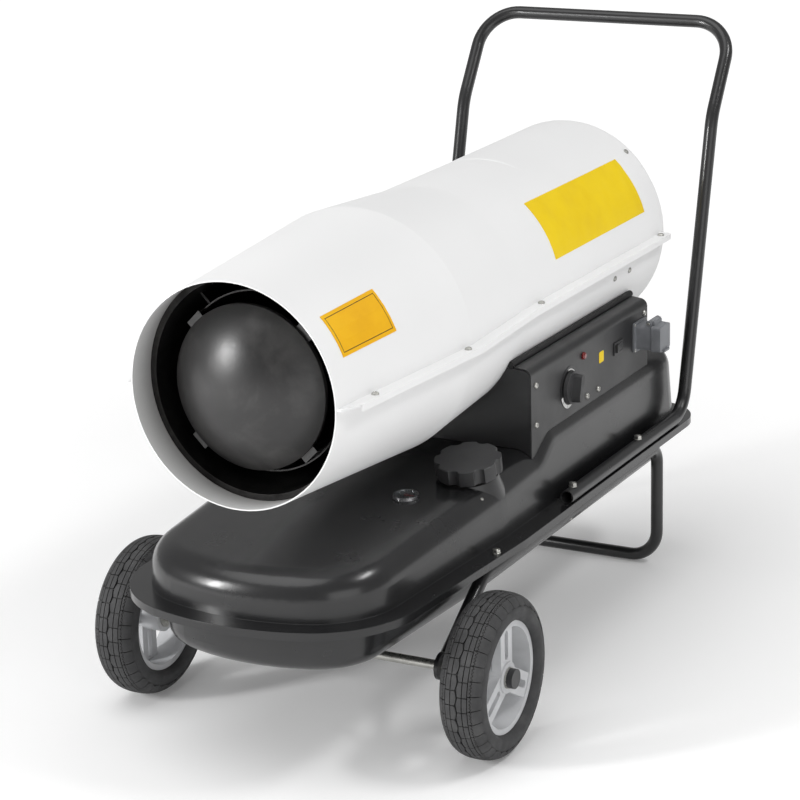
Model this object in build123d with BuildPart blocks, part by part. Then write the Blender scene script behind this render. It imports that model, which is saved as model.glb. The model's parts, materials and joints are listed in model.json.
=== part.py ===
"""Portable oil-fired forced air heater on two wheels.

Frame: floor at z = 0, +Z up. The outlet of the barrel faces -Y and the handle stands at +Y.
The control side is +X. All sizes are in millimetres.
"""

import os
from math import asin, cos, pi, radians, sin, sqrt

from build123d import *

os.makedirs("parts", exist_ok=True)

# ---------------------------------------------------------------- driving dimensions

# Fits and gaps
RUN_FIT = 0.05  # radial clearance of a turning fit
SEAT = 0.3  # gap of parts that lie against each other without touching
CLOSE_GAP = 0.1  # gap of parts clamped together
SLIDE_GAP = 0.5  # free gap round parts that move
JOINT_LAP = 1.0  # how far joined shapes reach into each other

# Barrel
SHEET = 1.5  # pressed steel sheet of tank and barrel
WAIST_R = 145.0  # straight rear stretch
BELLY_SWELL = 11.0  # of the widest ring beyond the waist
OUTLET_TAPER = 11.0  # of the outlet inside the waist
OUTLET_Y = -508.0
BELLY_Y = -215.0
WAIST_Y = -40.0
REAR_Y = 424.0
REAR_RIM = 17.0  # turned-in rim round the rear hole
BELLY_ROUND = 6.0
WAIST_ROUND = 160.0
REAR_ROUND = 15.0
HOOD_RISE = 7.0
HOOD_INSET = 3.5
HOOD_NOSE_INSET = 6.4
HOOD_Y = 128.0
HOOD_BACK = 0.4
EAR_FRONT_Y = -482.0
EAR_REAR_Y = 404.0
EAR_ROUND = 6.0
SHELL_FLANGE_W = 16.0
SHELL_LIP = 8.0
FLANGE_BELLY_ROUND = 24.0
SHELL_SCREW_YS = (-440.0, -236.0, -10.0, 384.0)
SHELL_SCREW_SET = 7.0  # of the screws beyond the shell
SCREW_D = 4.0
SCREW_HEAD_D = 9.0
SCREW_HEAD_H = 3.0
SCREW_HEAD_TAPER = 20.0
SCREW_GRIP = 2.0  # of a thread behind the sheets
COVER_SCREW_GRIP = 5.0

# Tank
SEAM_Z = 203.5  # where the two halves meet
TANK_REACH = 55.0  # of the tank's edge beyond the waist of the barrel
TANK_FRONT_Y = -560.5
TANK_REAR_Y = 437.0
NOSE_R = 300.0
NOSE_TAPER = 19.0
CHEEK_Y = -165.0
CHEEK_ROUND = 260.0
NOSE_CORNER_R = 130.0
REAR_CORNER_R = 70.0
FLANGE_W = 26.0
LIP_DEPTH = 10.0
DECK_FRONT_H = 54.5  # of the deck's front edge above the seam
DECK_RISE = 26.0
DECK_STEP_H = 25.0
DECK_STEP_Y = -62.0
DECK_STEP_RUN = 40.0
DECK_STEP_ROUND = 50.0
TOP_FACING = 0.3  # least upward part of a face that counts as a top
SHOULDER_R = 34.0
WALL_DRAFT = 4.0
TUB_DEPTH = 68.5
LOWER_INSET = 40.0
LOWER_DRAFT = 4.0
LOWER_ROUND = 24.0
DRAIN_D = 10.0
DRAIN_HEX_R = 9.0
DRAIN_HEAD_H = 6.0

# Wheels and axle
WHEEL_D = 200.0
WHEEL_GAP = 8.5  # between tank and tyre
TYRE_W = 58.0
TYRE_SHOULDER = 9.0
TREAD_GROOVE = 4.0
GROOVE_PITCH = 11.6
TREAD_LUGS = 34
LUG_DEPTH = 3.0
LUG_GAP = 3.0
RIM_D = 136.0
RIM_W = 40.0
RIM_WALL = 7.0
HUB_D = 38.0
HUB_W = 40.0
SPOKES = 3
SPOKE_W = 30.0
SPOKE_T = 12.0
SPOKE_RECESS = 2.0
SPOKE_SLOT = 9.0
SPOKE_SLOT_MARGIN = 3.0
AXLE_D = 12.0
AXLE_Y = -340.0
AXLE_CHAMFER = 1.0
WASHER_T = 2.5
WASHER_D = 26.0
WHEEL_CAP_D = 24.0
WHEEL_CAP_T = 5.0

# Handle tube
HANDLE_D = 18.0
HANDLE_WALL = 1.5
HANDLE_INSET = 8.0  # of its middle inside the tank's edge
HANDLE_FRONT_Y = -26.0
HANDLE_BEND_Y = 368.0
HANDLE_KINK_Y = 472.0
HANDLE_KINK_Z = 615.0
HANDLE_TOP_Y = 551.5
HANDLE_TOP_Z = 733.0
HANDLE_FOOT_BEND_R = 45.0
HANDLE_KINK_BEND_R = 90.0
HANDLE_TOP_BEND_R = 55.0
BOLT_D = 6.0
BOLT_WASHER_R = 5.4
BOLT_WASHER_T = 1.0
BOLT_HEAD_H = 3.6
BOLT_END = 6.0  # of the thread above the stack
NUT_R = 5.1
NUT_H = 4.2
BOLT_YS = (-7.0, 207.0)  # bolts through handle tube, flange and frame tab
FLANGE_BOLT_Y = -223.0  # bolt through the flange alone
FLANGE_BOLT_INSET = 12.5

# Frame tube
FRAME_D = 17.0
FRAME_WALL = 1.5
RAIL_INSET = 22.0  # of the rail's middle inside the handle's
RAIL_DROP = 29.5  # below the seam
RAIL_BEND_Y = -225.0
LEG_Y = 329.0
LEG_TOP_BEND_R = 24.0
LEG_FOOT_BEND_R = 40.0
RAIL_BEND_R = 30.0
LUG_T = 5.0
LUG_D = 34.0
RAIL_END_SET = 10.2  # of the rails' cut ends behind the axle
TAB_T = 3.0
TAB_L = 26.0
TAB_SINK = 3.0

# Filler and cap
FILLER_INSET = 73.0  # from the tank's edge
FILLER_Y = -171.0
FILLER_RISE = 4.0  # above the deck
FILLER_TILT = 10.0  # leans towards the front
NECK_D = 50.0
NECK_WALL = 2.0
NECK_H = 16.0
NECK_SINK = 30.0
NECK_COLLAR_W = 5.0
COLLAR_WELD = 0.1
MOUND_R = 36.0
MOUND_H = 28.0
MOUND_DRAFT = 14.0
CAP_D = 83.0
CAP_H = 20.0
CAP_WALL = 3.0
CAP_LOBES = 8
CAP_SCALLOP_R = 9.0
CAP_SCALLOP_SET = 4.95  # of the scallops' middles beyond the edge
CAP_EDGE = 0.8
CAP_BORE_GAP = 1.5
SEAL_T = 2.5
STRAINER_D = 40.0
STRAINER_T = 1.2
STRAINER_DEPTH = 46.0

# Level gauge
GAUGE_INSET = 116.0  # from the tank's edge
GAUGE_Y = -257.0
GAUGE_D = 33.0
GAUGE_RIM = 3.0
GAUGE_H = 4.0
GAUGE_TAPER = 8.0
GAUGE_LENS_T = 1.5
GAUGE_FLOOR = 1.0
GAUGE_LIFT = 0.2
GAUGE_PLUG_DEPTH = 6.0
GAUGE_STEM_R = 4.0
GAUGE_STEM_L = 60.0
POINTER_T = 0.9
POINTER_PIN_R = 1.0
POINTER_HUB_R = 2.5
POINTER_L = 13.0
POINTER_W = 1.6
POINTER_SHIFT = 4.0

# Hot parts
SHIELD_AIR = 5.0  # between outlet and shield
SHIELD_T = 1.0
SHIELD_FRONT_Y = -465.0
SHIELD_REAR_Y = 20.0
CLIPS = 4
CLIP_ANGLE = 45.0
CLIP_W = 12.0
CLIP_L = 10.0
CLIP_INSET = 4.0
CHAMBER_AIR = 21.0  # between shield and chamber
CHAMBER_T = 2.0
CHAMBER_FRONT_Y = -440.0
CHAMBER_REAR_Y = 60.0
BRACKET_T = 3.0
BRACKET_L = 30.0
BRACKET_FRONT_SET = 20.0
BRACKET_REAR_SET = 80.0
DOME_INSET = 10.0  # of the dome's rim inside the chamber
DOME_RISE = 40.0
DOME_Y = -468.0
DOME_T = 2.0
DOME_TABS = 4
DOME_TAB_W = 22.0
DOME_LEG_W = 17.6
DOME_TAB_SET = 4.0  # of the tabs behind the rim
DOME_LEG_REACH = 20.0  # into the chamber
ELECTRODE_D = 8.0
ELECTRODE_X = 15.0
ELECTRODE_RISE = 16.0
ELECTRODE_L = 36.0
ELECTRODE_SET = 8.0
ELECTRODE_TIP = 16.0
ELECTRODE_WIRE_R = 1.2
BURNER_R = 44.0
BURNER_L = 56.0
BURNER_T = 2.0
SWIRL_SET = 20.0  # of the swirl plate behind the chamber
SWIRL_SLOTS = 8
SWIRL_RING_R = 31.7
SWIRL_SLOT_L = 17.6
SWIRL_SLOT_W = 4.0
SWIRL_LEAN = 60.0
NOZZLE_D = 14.0
NOZZLE_L = 56.0
NOZZLE_TIP = 6.0
NOZZLE_NUT_L = 8.0
NOZZLE_NUT_R = 9.1
SENSOR_X = 60.0
SENSOR_RISE = 50.0
SENSOR_R = 9.0
SENSOR_L = 22.0

# Blower
FAN_Y = 170.0
FAN_TIP_GAP = 21.5  # between fan and shell
FAN_W = 34.0
FAN_HUB_D = 56.0
FAN_BLADES = 6
BLADE_T = 2.0
BLADE_CHORD = 44.2
BLADE_BOW = 34.0
BLADE_CAMBER = 3.0
BLADE_ROOT = 3.0
MOTOR_Y = 212.0
MOTOR_L = 96.0
MOTOR_D = 112.0
MOTOR_ROUND = 8.0
SADDLE_L = 40.0
SADDLE_W = 70.0
SADDLE_WALL = 3.0
SADDLE_PLATE = 5.0
SHAFT_D = 12.0
SHAFT_STUB = 4.0
PUMP_L = 34.0
PUMP_D = 92.0
PUMP_COVER_L = 20.0
PUMP_COVER_TAPER = 12.0
PUMP_SCREW_PITCH = 46.0
PUMP_SCREW_R = 5.0
PUMP_SCREW_H = 3.0
ROTOR_D = 60.0
ROTOR_T = 18.0
ROTOR_VANES = 4
VANE_L = 16.0
VANE_W = 3.5
GRILLE_T = 2.5
GRILLE_RINGS = 6
GRILLE_BAR = 4.0
GRILLE_SPOKES = 8
GRILLE_LAP = 4.0

# Cradle and control box
BARREL_GAP = 6.0  # between barrel and tank
CRADLE_FRONT_Y = -65.0
CRADLE_REAR_Y = 312.0
CRADLE_LAP = 12.0  # of the walls' flanges on the side sheet
PANEL_REACH = 17.0  # of the panel beyond the barrel's waist
PANEL_FALL = 2.6  # from the sheet's upper edge down to its bend
PANEL_BEND = 10.0
STRIP_ANGLE = 26.5  # below the barrel's middle
STRIP_D = 9.0
STRIP_OVERHANG = 5.0
STRIP_GAP = 1.2

# Controls on the panel: places along Y, and heights above the tank's top
PANEL_SCREWS = ((-51.0, 57.0), (-51.0, 5.0), (300.0, 63.5))
BOARD_SCREWS = ((107.0, -1.0), (143.0, -1.0))
KNOB_AT = (51.0, 26.5)
KNOB_D = 44.0
KNOB_H = 17.0
KNOB_SKIRT_H = 5.0
KNOB_SKIRT_TAPER = 8.0
KNOB_LIFT = 1.5  # above the panel
KNOB_GRIP_W = 12.0
KNOB_GRIP_MARGIN = 3.0
KNOB_GRIP_TAPER = 6.0
KNOB_REST_ANGLE = 75.0
KNOB_SHAFT_D = 6.0
DIAL_W = 6.0
DIAL_T = 0.6
LAMP_AT = (95.0, 57.0)
LAMP_D = 10.0
LAMP_H = 4.0
LAMP_LIP = 1.0
LAMP_ROUND = 2.8
LAMP_BODY_L = 12.0
ROCKER_AT = (209.0, 39.0)
ROCKER_W = 11.0
ROCKER_L = 23.0
ROCKER_BEZEL = 3.0
ROCKER_FRAME_T = 2.0
ROCKER_FRAME_WALL = 1.0
ROCKER_DEPTH = 14.0
ROCKER_NOSE = 5.5
ROCKER_BACK = 2.0
ROCKER_DISH = 1.5
ROCKER_TILT = 8.0
ROCKER_PIVOT_SET = 2.0  # behind the panel
ROCKER_PIN_R = 1.5
ROCKER_PIN_REACH = 0.9
ROCKER_EYE_R = 3.0
SIDE_GAP = 0.3  # beside the rocker

# Thermostat socket
SOCKET_AT = (282.0, 37.5)
SOCKET_PLATE = 44.0
SOCKET_PLATE_H = 41.0
SOCKET_PLATE_T = 3.0
SOCKET_PLATE_ROUND = 4.0
SOCKET_BODY = 34.0
SOCKET_ROUND = 5.0
SOCKET_BORE_ROUND = 2.0
SOCKET_REACH = 22.0
SOCKET_WALL = 4.0
SOCKET_FLOOR = 3.0
LID_T = 13.0
LID_WALL = 4.0
LID_LAP = 1.5
LID_TAPER = 4.0
LID_BORE_ROUND = 3.0
LID_STRAP_T = 3.0
LID_STRAP_LAP = 2.0
LID_PIN_END = 1.0
LID_PIN_D = 4.0
LID_LIP_L = 8.0
LID_LIP_T = 3.0
EAR_T = 4.0

# Lines to the nozzle
LINE_D = 5.0
LINE_X = 60.0
LINE_Y = 124.0
LINE_RISE = 10.0  # of the pickup's head above the tank
LINE_BEND_R = 24.0
PUMP_PORT_X = 30.0
PORT_DROP = 2.2
PORT_RUN = 45.0
PICKUP_D = 8.0
PICKUP_FLANGE_D = 34.0
PICKUP_FLANGE_T = 3.0
PICKUP_CLEAR = 12.0  # of the pickup's end above the tank's floor
FILTER_CLEAR = 4.0
FILTER_L = 40.0
FILTER_R = 11.2

# Electrics behind the panel
BOARD_T = 1.6
BOARD_GAP = 6.0
BOARD_POST_R = 3.6
BOARD_RISE = 18.3  # of its middle above the screws
BOARD_L = 66.0
BOARD_H = 44.0
THERMOSTAT_D = 26.0
THERMOSTAT_L = 14.0
SHAFT_BED = 2.0  # of thermostat left behind the knob's shaft
TRANSFORMER_W = 28.0
TRANSFORMER_L = 85.0
TRANSFORMER_H = 48.0
TRANSFORMER_Y = 160.0
TRANSFORMER_LIFT = 1.0
TRANSFORMER_ROUND = 4.0

# ---------------------------------------------------------------- derived places

BELLY_R = WAIST_R + BELLY_SWELL
OUTLET_R = WAIST_R - OUTLET_TAPER
REAR_HOLE_R = WAIST_R - REAR_RIM
HOOD_R = WAIST_R - HOOD_INSET
HOOD_NOSE_R = WAIST_R - HOOD_NOSE_INSET
SHIELD_R = OUTLET_R - SHIELD_AIR
CHAMBER_R = SHIELD_R - CHAMBER_AIR
DOME_R = CHAMBER_R - DOME_INSET
FAN_R = WAIST_R - SHEET - FAN_TIP_GAP
TANK_HALF_W = WAIST_R + TANK_REACH
NOSE_HALF_W = TANK_HALF_W - NOSE_TAPER
DECK_FRONT_Z = SEAM_Z + DECK_FRONT_H
DECK_STEP_Z = DECK_FRONT_Z + DECK_RISE
TANK_TOP_Z = DECK_STEP_Z + DECK_STEP_H
TANK_BOTTOM_Z = SEAM_Z - TUB_DEPTH
DECK_SLOPE = DECK_RISE / (DECK_STEP_Y - TANK_FRONT_Y - FLANGE_W)
BARREL_Z = TANK_TOP_Z + BARREL_GAP + WAIST_R
BARREL_AXIS = Axis((0, 0, BARREL_Z), (0, 1, 0))
FLANGE_TOP_Z = SEAM_Z + SHEET
FLANGE_BOLT_X = TANK_HALF_W - FLANGE_BOLT_INSET
AXLE_Z = WHEEL_D / 2
WHEEL_X = TANK_HALF_W + WHEEL_GAP + TYRE_W / 2
HANDLE_X = TANK_HALF_W - HANDLE_INSET
HANDLE_R = HANDLE_D / 2
HANDLE_Z = FLANGE_TOP_Z + HANDLE_R
FRAME_R = FRAME_D / 2
RAIL_X = HANDLE_X - RAIL_INSET
RAIL_Z = SEAM_Z - RAIL_DROP
FILLER_X = TANK_HALF_W - FILLER_INSET
GAUGE_X = TANK_HALF_W - GAUGE_INSET
PANEL_X = WAIST_R + PANEL_REACH
LINE_Z = TANK_TOP_Z + LINE_RISE
SHAFT_END_Y = MOTOR_Y + MOTOR_L + PUMP_L - 2 * SLIDE_GAP


def finish(piece, name):
    """Label a finished piece and write it."""
    piece.part.label = name
    export_step(piece.part, f"parts/{name}.step")


def across(y):
    """Plane across the barrel at y, facing the rear."""
    return Plane(origin=(0, y, BARREL_Z), x_dir=(1, 0, 0), z_dir=(0, 1, 0))


def upright(x, y=0.0, z=0.0):
    """Plane along Y and Z at x, facing +X."""
    return Plane(origin=(x, y, z), x_dir=(0, 1, 0), z_dir=(1, 0, 0))


def on_panel(place, x):
    """Plane at x parallel to the panel, at a place given along Y and above the tank's top."""
    return upright(x, place[0], TANK_TOP_Z + place[1])


def deck_z(y):
    """Height of the tank's front deck at y."""
    return DECK_STEP_Z + DECK_SLOPE * (y - DECK_STEP_Y)


def tilted(x, y, z, tilt):
    """Plane facing up and leaning towards the front by tilt degrees."""
    return Plane(origin=(x, y, z), x_dir=(1, 0, 0), z_dir=(0, -sin(radians(tilt)), cos(radians(tilt))))


# ---------------------------------------------------------------- tube frame


def tube_along(path, outer_d, wall):
    """Round tube swept along a wire."""
    with BuildPart() as tube:
        with BuildSketch(Plane(origin=path @ 0, z_dir=path % 0)):
            Circle(outer_d / 2)
            Circle(outer_d / 2 - wall, mode=Mode.SUBTRACT)
        sweep(path=path)
    return tube.part


def bolt_tab(side, y):
    """Tab welded to a rail that reaches up and out to the flange bolt at y."""
    low = RAIL_Z + FRAME_R - TAB_SINK
    with BuildPart() as tab:
        with BuildSketch(Plane.XZ.offset(-(y - TAB_L / 2))):
            with BuildLine():
                FilletPolyline(
                    (side * (RAIL_X + TAB_T), low),
                    (side * (RAIL_X + TAB_T), SEAM_Z - SHEET - TAB_T / 2),
                    (side * (HANDLE_X + BOLT_D), SEAM_Z - SHEET - TAB_T / 2),
                    radius=TAB_T,
                )
            trace(line_width=TAB_T)
        extrude(amount=-TAB_L)
        with Locations((side * HANDLE_X, y, SEAM_Z)):
            Hole(BOLT_D / 2 + RUN_FIT, depth=SEAM_Z)
    return tab.part


rail_end_y = AXLE_Y + RAIL_END_SET
rail_end_z = AXLE_Z + (rail_end_y - AXLE_Y) * (RAIL_Z - AXLE_Z) / (RAIL_BEND_Y - AXLE_Y)
rail_bends = (RAIL_BEND_R, LEG_TOP_BEND_R, LEG_FOOT_BEND_R)
with BuildLine() as frame_path:
    FilletPolyline(
        (RAIL_X, rail_end_y, rail_end_z),
        (RAIL_X, RAIL_BEND_Y, RAIL_Z),
        (RAIL_X, LEG_Y, RAIL_Z),
        (RAIL_X, LEG_Y, FRAME_R),
        (-RAIL_X, LEG_Y, FRAME_R),
        (-RAIL_X, LEG_Y, RAIL_Z),
        (-RAIL_X, RAIL_BEND_Y, RAIL_Z),
        (-RAIL_X, rail_end_y, rail_end_z),
        radius=[*rail_bends, *reversed(rail_bends)],
    )
frame_sweep = tube_along(frame_path.line, FRAME_D, FRAME_WALL)
frame_tabs = [bolt_tab(side, y) for side in (-1, 1) for y in BOLT_YS]

with BuildPart() as frame_tube:
    add(frame_sweep)
    for side in (-1, 1):
        with BuildSketch(upright(side * RAIL_X - LUG_T / 2)):
            with Locations((AXLE_Y, AXLE_Z)):
                Circle(LUG_D / 2)
        extrude(amount=LUG_T)
        with BuildSketch(upright(side * RAIL_X - LUG_T / 2)):
            with Locations((AXLE_Y, AXLE_Z)):
                Circle(AXLE_D / 2 + RUN_FIT)
        extrude(amount=LUG_T, mode=Mode.SUBTRACT)
    for tab in frame_tabs:
        add(tab)
finish(frame_tube, "frame_tube")

handle_bends = (HANDLE_FOOT_BEND_R, HANDLE_KINK_BEND_R, HANDLE_TOP_BEND_R)
with BuildLine() as handle_path:
    FilletPolyline(
        (HANDLE_X, HANDLE_FRONT_Y, HANDLE_Z),
        (HANDLE_X, HANDLE_BEND_Y, HANDLE_Z),
        (HANDLE_X, HANDLE_KINK_Y, HANDLE_KINK_Z),
        (HANDLE_X, HANDLE_TOP_Y, HANDLE_TOP_Z),
        (-HANDLE_X, HANDLE_TOP_Y, HANDLE_TOP_Z),
        (-HANDLE_X, HANDLE_KINK_Y, HANDLE_KINK_Z),
        (-HANDLE_X, HANDLE_BEND_Y, HANDLE_Z),
        (-HANDLE_X, HANDLE_FRONT_Y, HANDLE_Z),
        radius=[*handle_bends, *reversed(handle_bends)],
    )
handle_sweep = tube_along(handle_path.line, HANDLE_D, HANDLE_WALL)

with BuildPart() as handle_tube:
    add(handle_sweep)
    with Locations(*[(side * HANDLE_X, y, HANDLE_Z + HANDLE_R) for side in (-1, 1) for y in BOLT_YS]):
        Hole(BOLT_D / 2 + RUN_FIT, depth=HANDLE_D)
finish(handle_tube, "handle_tube")


def bolt_stack(x, y, top_z, under_z):
    """Bolt with a hex nut and washer on top, and a hex head below the stack from under_z to top_z."""
    with BuildPart() as bolt:
        with BuildSketch(Plane(origin=(x, y, top_z))):
            Circle(BOLT_WASHER_R)
        extrude(amount=BOLT_WASHER_T)
        with BuildSketch(Plane(origin=(x, y, top_z + BOLT_WASHER_T))):
            RegularPolygon(NUT_R, 6)
        extrude(amount=NUT_H)
        with BuildSketch(Plane(origin=(x, y, under_z - BOLT_HEAD_H))):
            RegularPolygon(NUT_R, 6)
        extrude(amount=BOLT_HEAD_H)
        with BuildSketch(Plane(origin=(x, y, under_z))):
            Circle(BOLT_D / 2)
        extrude(amount=top_z - under_z + BOLT_END)
    return bolt.part


handle_stack_bottom = SEAM_Z - SHEET - TAB_T
bolt_parts = [
    bolt_stack(side * HANDLE_X, y, HANDLE_Z + HANDLE_R, handle_stack_bottom)
    for side in (-1, 1)
    for y in BOLT_YS
]
bolt_parts += [
    bolt_stack(side * FLANGE_BOLT_X, FLANGE_BOLT_Y, FLANGE_TOP_Z, SEAM_Z - SHEET) for side in (-1, 1)
]
with BuildPart() as handle_bolts:
    for bolt_part in bolt_parts:
        add(bolt_part)
finish(handle_bolts, "handle_bolts")

# ---------------------------------------------------------------- axle and wheels

axle_half = WHEEL_X + HUB_W / 2 + WASHER_T + WHEEL_CAP_T
with BuildPart() as axle:
    with BuildSketch(upright(-axle_half, AXLE_Y, AXLE_Z)):
        Circle(AXLE_D / 2)
    extrude(amount=2 * axle_half)
    chamfer(axle.edges().filter_by(GeomType.CIRCLE), AXLE_CHAMFER)
finish(axle, "axle")

with BuildPart() as wheel_washers:
    for side in (-1, 1):
        for centre in (WHEEL_X - HUB_W / 2 - WASHER_T / 2, WHEEL_X + HUB_W / 2 + WASHER_T / 2):
            with BuildSketch(upright(side * centre - WASHER_T / 2 + SEAT, AXLE_Y, AXLE_Z)):
                Circle(WASHER_D / 2)
                Circle(AXLE_D / 2, mode=Mode.SUBTRACT)
            extrude(amount=WASHER_T - 2 * SEAT)
finish(wheel_washers, "wheel_washers")

for side, side_name in ((-1, "left"), (1, "right")):
    wheel_plane = Plane(origin=(side * WHEEL_X, AXLE_Y, AXLE_Z), x_dir=(0, 1, 0), z_dir=(side, 0, 0))

    # Rim: seat ring, hub and slotted spokes
    with BuildPart(wheel_plane) as rim:
        with BuildSketch(wheel_plane.offset(-RIM_W / 2)):
            Circle(RIM_D / 2)
            Circle(RIM_D / 2 - RIM_WALL, mode=Mode.SUBTRACT)
        extrude(amount=RIM_W)
        with BuildSketch(wheel_plane.offset(-HUB_W / 2)):
            Circle(HUB_D / 2)
        extrude(amount=HUB_W)
        with BuildSketch(wheel_plane.offset(RIM_W / 2 - SPOKE_RECESS - SPOKE_T)):
            with PolarLocations(RIM_D / 4, SPOKES, start_angle=90):
                Rectangle(RIM_D / 2 - RIM_WALL / 2, SPOKE_W)
        extrude(amount=SPOKE_T)
        with BuildSketch(wheel_plane.offset(RIM_W / 2 - SPOKE_RECESS - SPOKE_T)):
            with PolarLocations((RIM_D / 2 - RIM_WALL + HUB_D / 2) / 2, SPOKES, start_angle=90):
                SlotOverall(RIM_D / 2 - RIM_WALL - HUB_D / 2 - 2 * SPOKE_SLOT_MARGIN, SPOKE_SLOT)
        extrude(amount=SPOKE_T, mode=Mode.SUBTRACT)
        with BuildSketch(wheel_plane.offset(-HUB_W / 2)):
            Circle(AXLE_D / 2 + RUN_FIT)
        extrude(amount=HUB_W, mode=Mode.SUBTRACT)
    finish(rim, f"rim_{side_name}")

    # Tyre: a band with rounded shoulders, round grooves and lugs cut across the shoulders
    with BuildPart(wheel_plane) as tyre:
        with BuildSketch(wheel_plane.offset(-TYRE_W / 2)):
            Circle(WHEEL_D / 2)
            Circle(RIM_D / 2, mode=Mode.SUBTRACT)
        extrude(amount=TYRE_W)
        outer_edges = tyre.edges().filter_by(GeomType.CIRCLE).sort_by(SortBy.RADIUS)[-2:]
        fillet(outer_edges, radius=TYRE_SHOULDER)
        for groove in (-1, 0, 1):
            with BuildSketch(wheel_plane.offset(groove * GROOVE_PITCH - TREAD_GROOVE / 2)):
                Circle(WHEEL_D / 2)
                Circle(WHEEL_D / 2 - TREAD_GROOVE, mode=Mode.SUBTRACT)
            extrude(amount=TREAD_GROOVE, mode=Mode.SUBTRACT)
        for edge in (-1, 1):
            with BuildSketch(wheel_plane.offset(edge * TYRE_W / 2)):
                with PolarLocations(WHEEL_D / 2, TREAD_LUGS):
                    Rectangle(2 * LUG_DEPTH, LUG_GAP)
            extrude(amount=-edge * (TYRE_W / 2 - GROOVE_PITCH), mode=Mode.SUBTRACT)
    finish(tyre, f"tyre_{side_name}")

wheel_cap_x = WHEEL_X + HUB_W / 2 + WASHER_T
with BuildPart() as wheel_caps:
    for side in (-1, 1):
        cap_plane = Plane(origin=(side * wheel_cap_x, AXLE_Y, AXLE_Z), x_dir=(0, 1, 0), z_dir=(side, 0, 0))
        with BuildSketch(cap_plane):
            Circle(WHEEL_CAP_D / 2)
        extrude(amount=WHEEL_CAP_T + WASHER_T)
        with BuildSketch(cap_plane):
            Circle(AXLE_D / 2)
        extrude(amount=WHEEL_CAP_T, mode=Mode.SUBTRACT)
finish(wheel_caps, "wheel_caps")

# ---------------------------------------------------------------- tank


def tank_plan(inset):
    """Plan of the seam flange pulled in by inset: bowed nose, tapered cheeks, straight sides."""
    nose_y = TANK_FRONT_Y + NOSE_R - sqrt(NOSE_R**2 - NOSE_HALF_W**2)
    with BuildSketch(mode=Mode.PRIVATE) as plan:
        with BuildLine():
            ThreePointArc((-NOSE_HALF_W, nose_y), (0, TANK_FRONT_Y), (NOSE_HALF_W, nose_y))
            Polyline(
                (NOSE_HALF_W, nose_y),
                (TANK_HALF_W, CHEEK_Y),
                (TANK_HALF_W, TANK_REAR_Y),
                (-TANK_HALF_W, TANK_REAR_Y),
                (-TANK_HALF_W, CHEEK_Y),
                (-NOSE_HALF_W, nose_y),
            )
        make_face()
        fillet(plan.vertices().group_by(Axis.Y)[0], radius=NOSE_CORNER_R)
        fillet(plan.vertices().group_by(Axis.Y)[-1], radius=REAR_CORNER_R)
        cheeks = plan.vertices().filter_by(lambda v: abs(v.Y - CHEEK_Y) < SHEET)
        fillet(cheeks, radius=CHEEK_ROUND)
        if inset:
            offset(amount=-inset)
    return plan.sketch


def upper_body(inset):
    """Domed upper half of the tank, pulled in by inset on every side."""
    with BuildPart(mode=Mode.PRIVATE) as body:
        with BuildSketch(Plane.XY.offset(SEAM_Z)):
            add(tank_plan(FLANGE_W + inset))
        extrude(amount=TANK_TOP_Z - SEAM_Z, taper=WALL_DRAFT)
        front_y = TANK_FRONT_Y
        with BuildSketch(Plane.YZ):
            with BuildLine():
                FilletPolyline(
                    (front_y, SEAM_Z),
                    (front_y, deck_z(front_y) - inset),
                    (DECK_STEP_Y, DECK_STEP_Z - inset),
                    (DECK_STEP_Y + DECK_STEP_RUN, TANK_TOP_Z - inset),
                    (TANK_REAR_Y, TANK_TOP_Z - inset),
                    (TANK_REAR_Y, SEAM_Z),
                    radius=[0, DECK_STEP_RUN / 2, DECK_STEP_ROUND, 0],
                    close=False,
                )
                Line((TANK_REAR_Y, SEAM_Z), (front_y, SEAM_Z))
            make_face()
        extrude(amount=TANK_HALF_W, both=True, mode=Mode.INTERSECT)
        tops = body.faces().filter_by(lambda f: f.normal_at().Z > TOP_FACING)
        rim_edges = tops.edges().filter_by(Axis.X, reverse=True)
        rim_edges.append(tops.edges().sort_by(Axis.Y)[-1])
        fillet(rim_edges, radius=SHOULDER_R - inset)
    return body.part


def lower_body(inset):
    """Tub of the lower half of the tank, pulled in by inset on every side."""
    with BuildPart(mode=Mode.PRIVATE) as body:
        with BuildSketch(Plane.XY.offset(SEAM_Z)):
            add(tank_plan(LOWER_INSET + inset))
        extrude(amount=TANK_BOTTOM_Z + inset - SEAM_Z, taper=LOWER_DRAFT)
        fillet(body.faces().sort_by(Axis.Z)[0].edges(), radius=LOWER_ROUND - inset)
    return body.part


filler_plane = tilted(FILLER_X, FILLER_Y, deck_z(FILLER_Y) + FILLER_RISE, FILLER_TILT)
drain_y = (TANK_FRONT_Y + TANK_REAR_Y) / 2
flange_bolt_places = [(side * HANDLE_X, y) for side in (-1, 1) for y in BOLT_YS]
flange_bolt_places += [(side * FLANGE_BOLT_X, FLANGE_BOLT_Y) for side in (-1, 1)]
upper_outer = upper_body(0)
upper_inner = upper_body(SHEET)
lower_outer = lower_body(0)
lower_inner = lower_body(SHEET)


def filler_cone(inset):
    """Pressed seat of the filler, a low cone on the deck, pulled in by inset."""
    with BuildPart(mode=Mode.PRIVATE) as cone:
        with BuildSketch(filler_plane.offset(-inset)):
            Circle(MOUND_R - inset)
        extrude(amount=-MOUND_H, taper=-MOUND_DRAFT)
    return cone.part


outer_cone = filler_cone(0)
inner_cone = filler_cone(SHEET)

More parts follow.
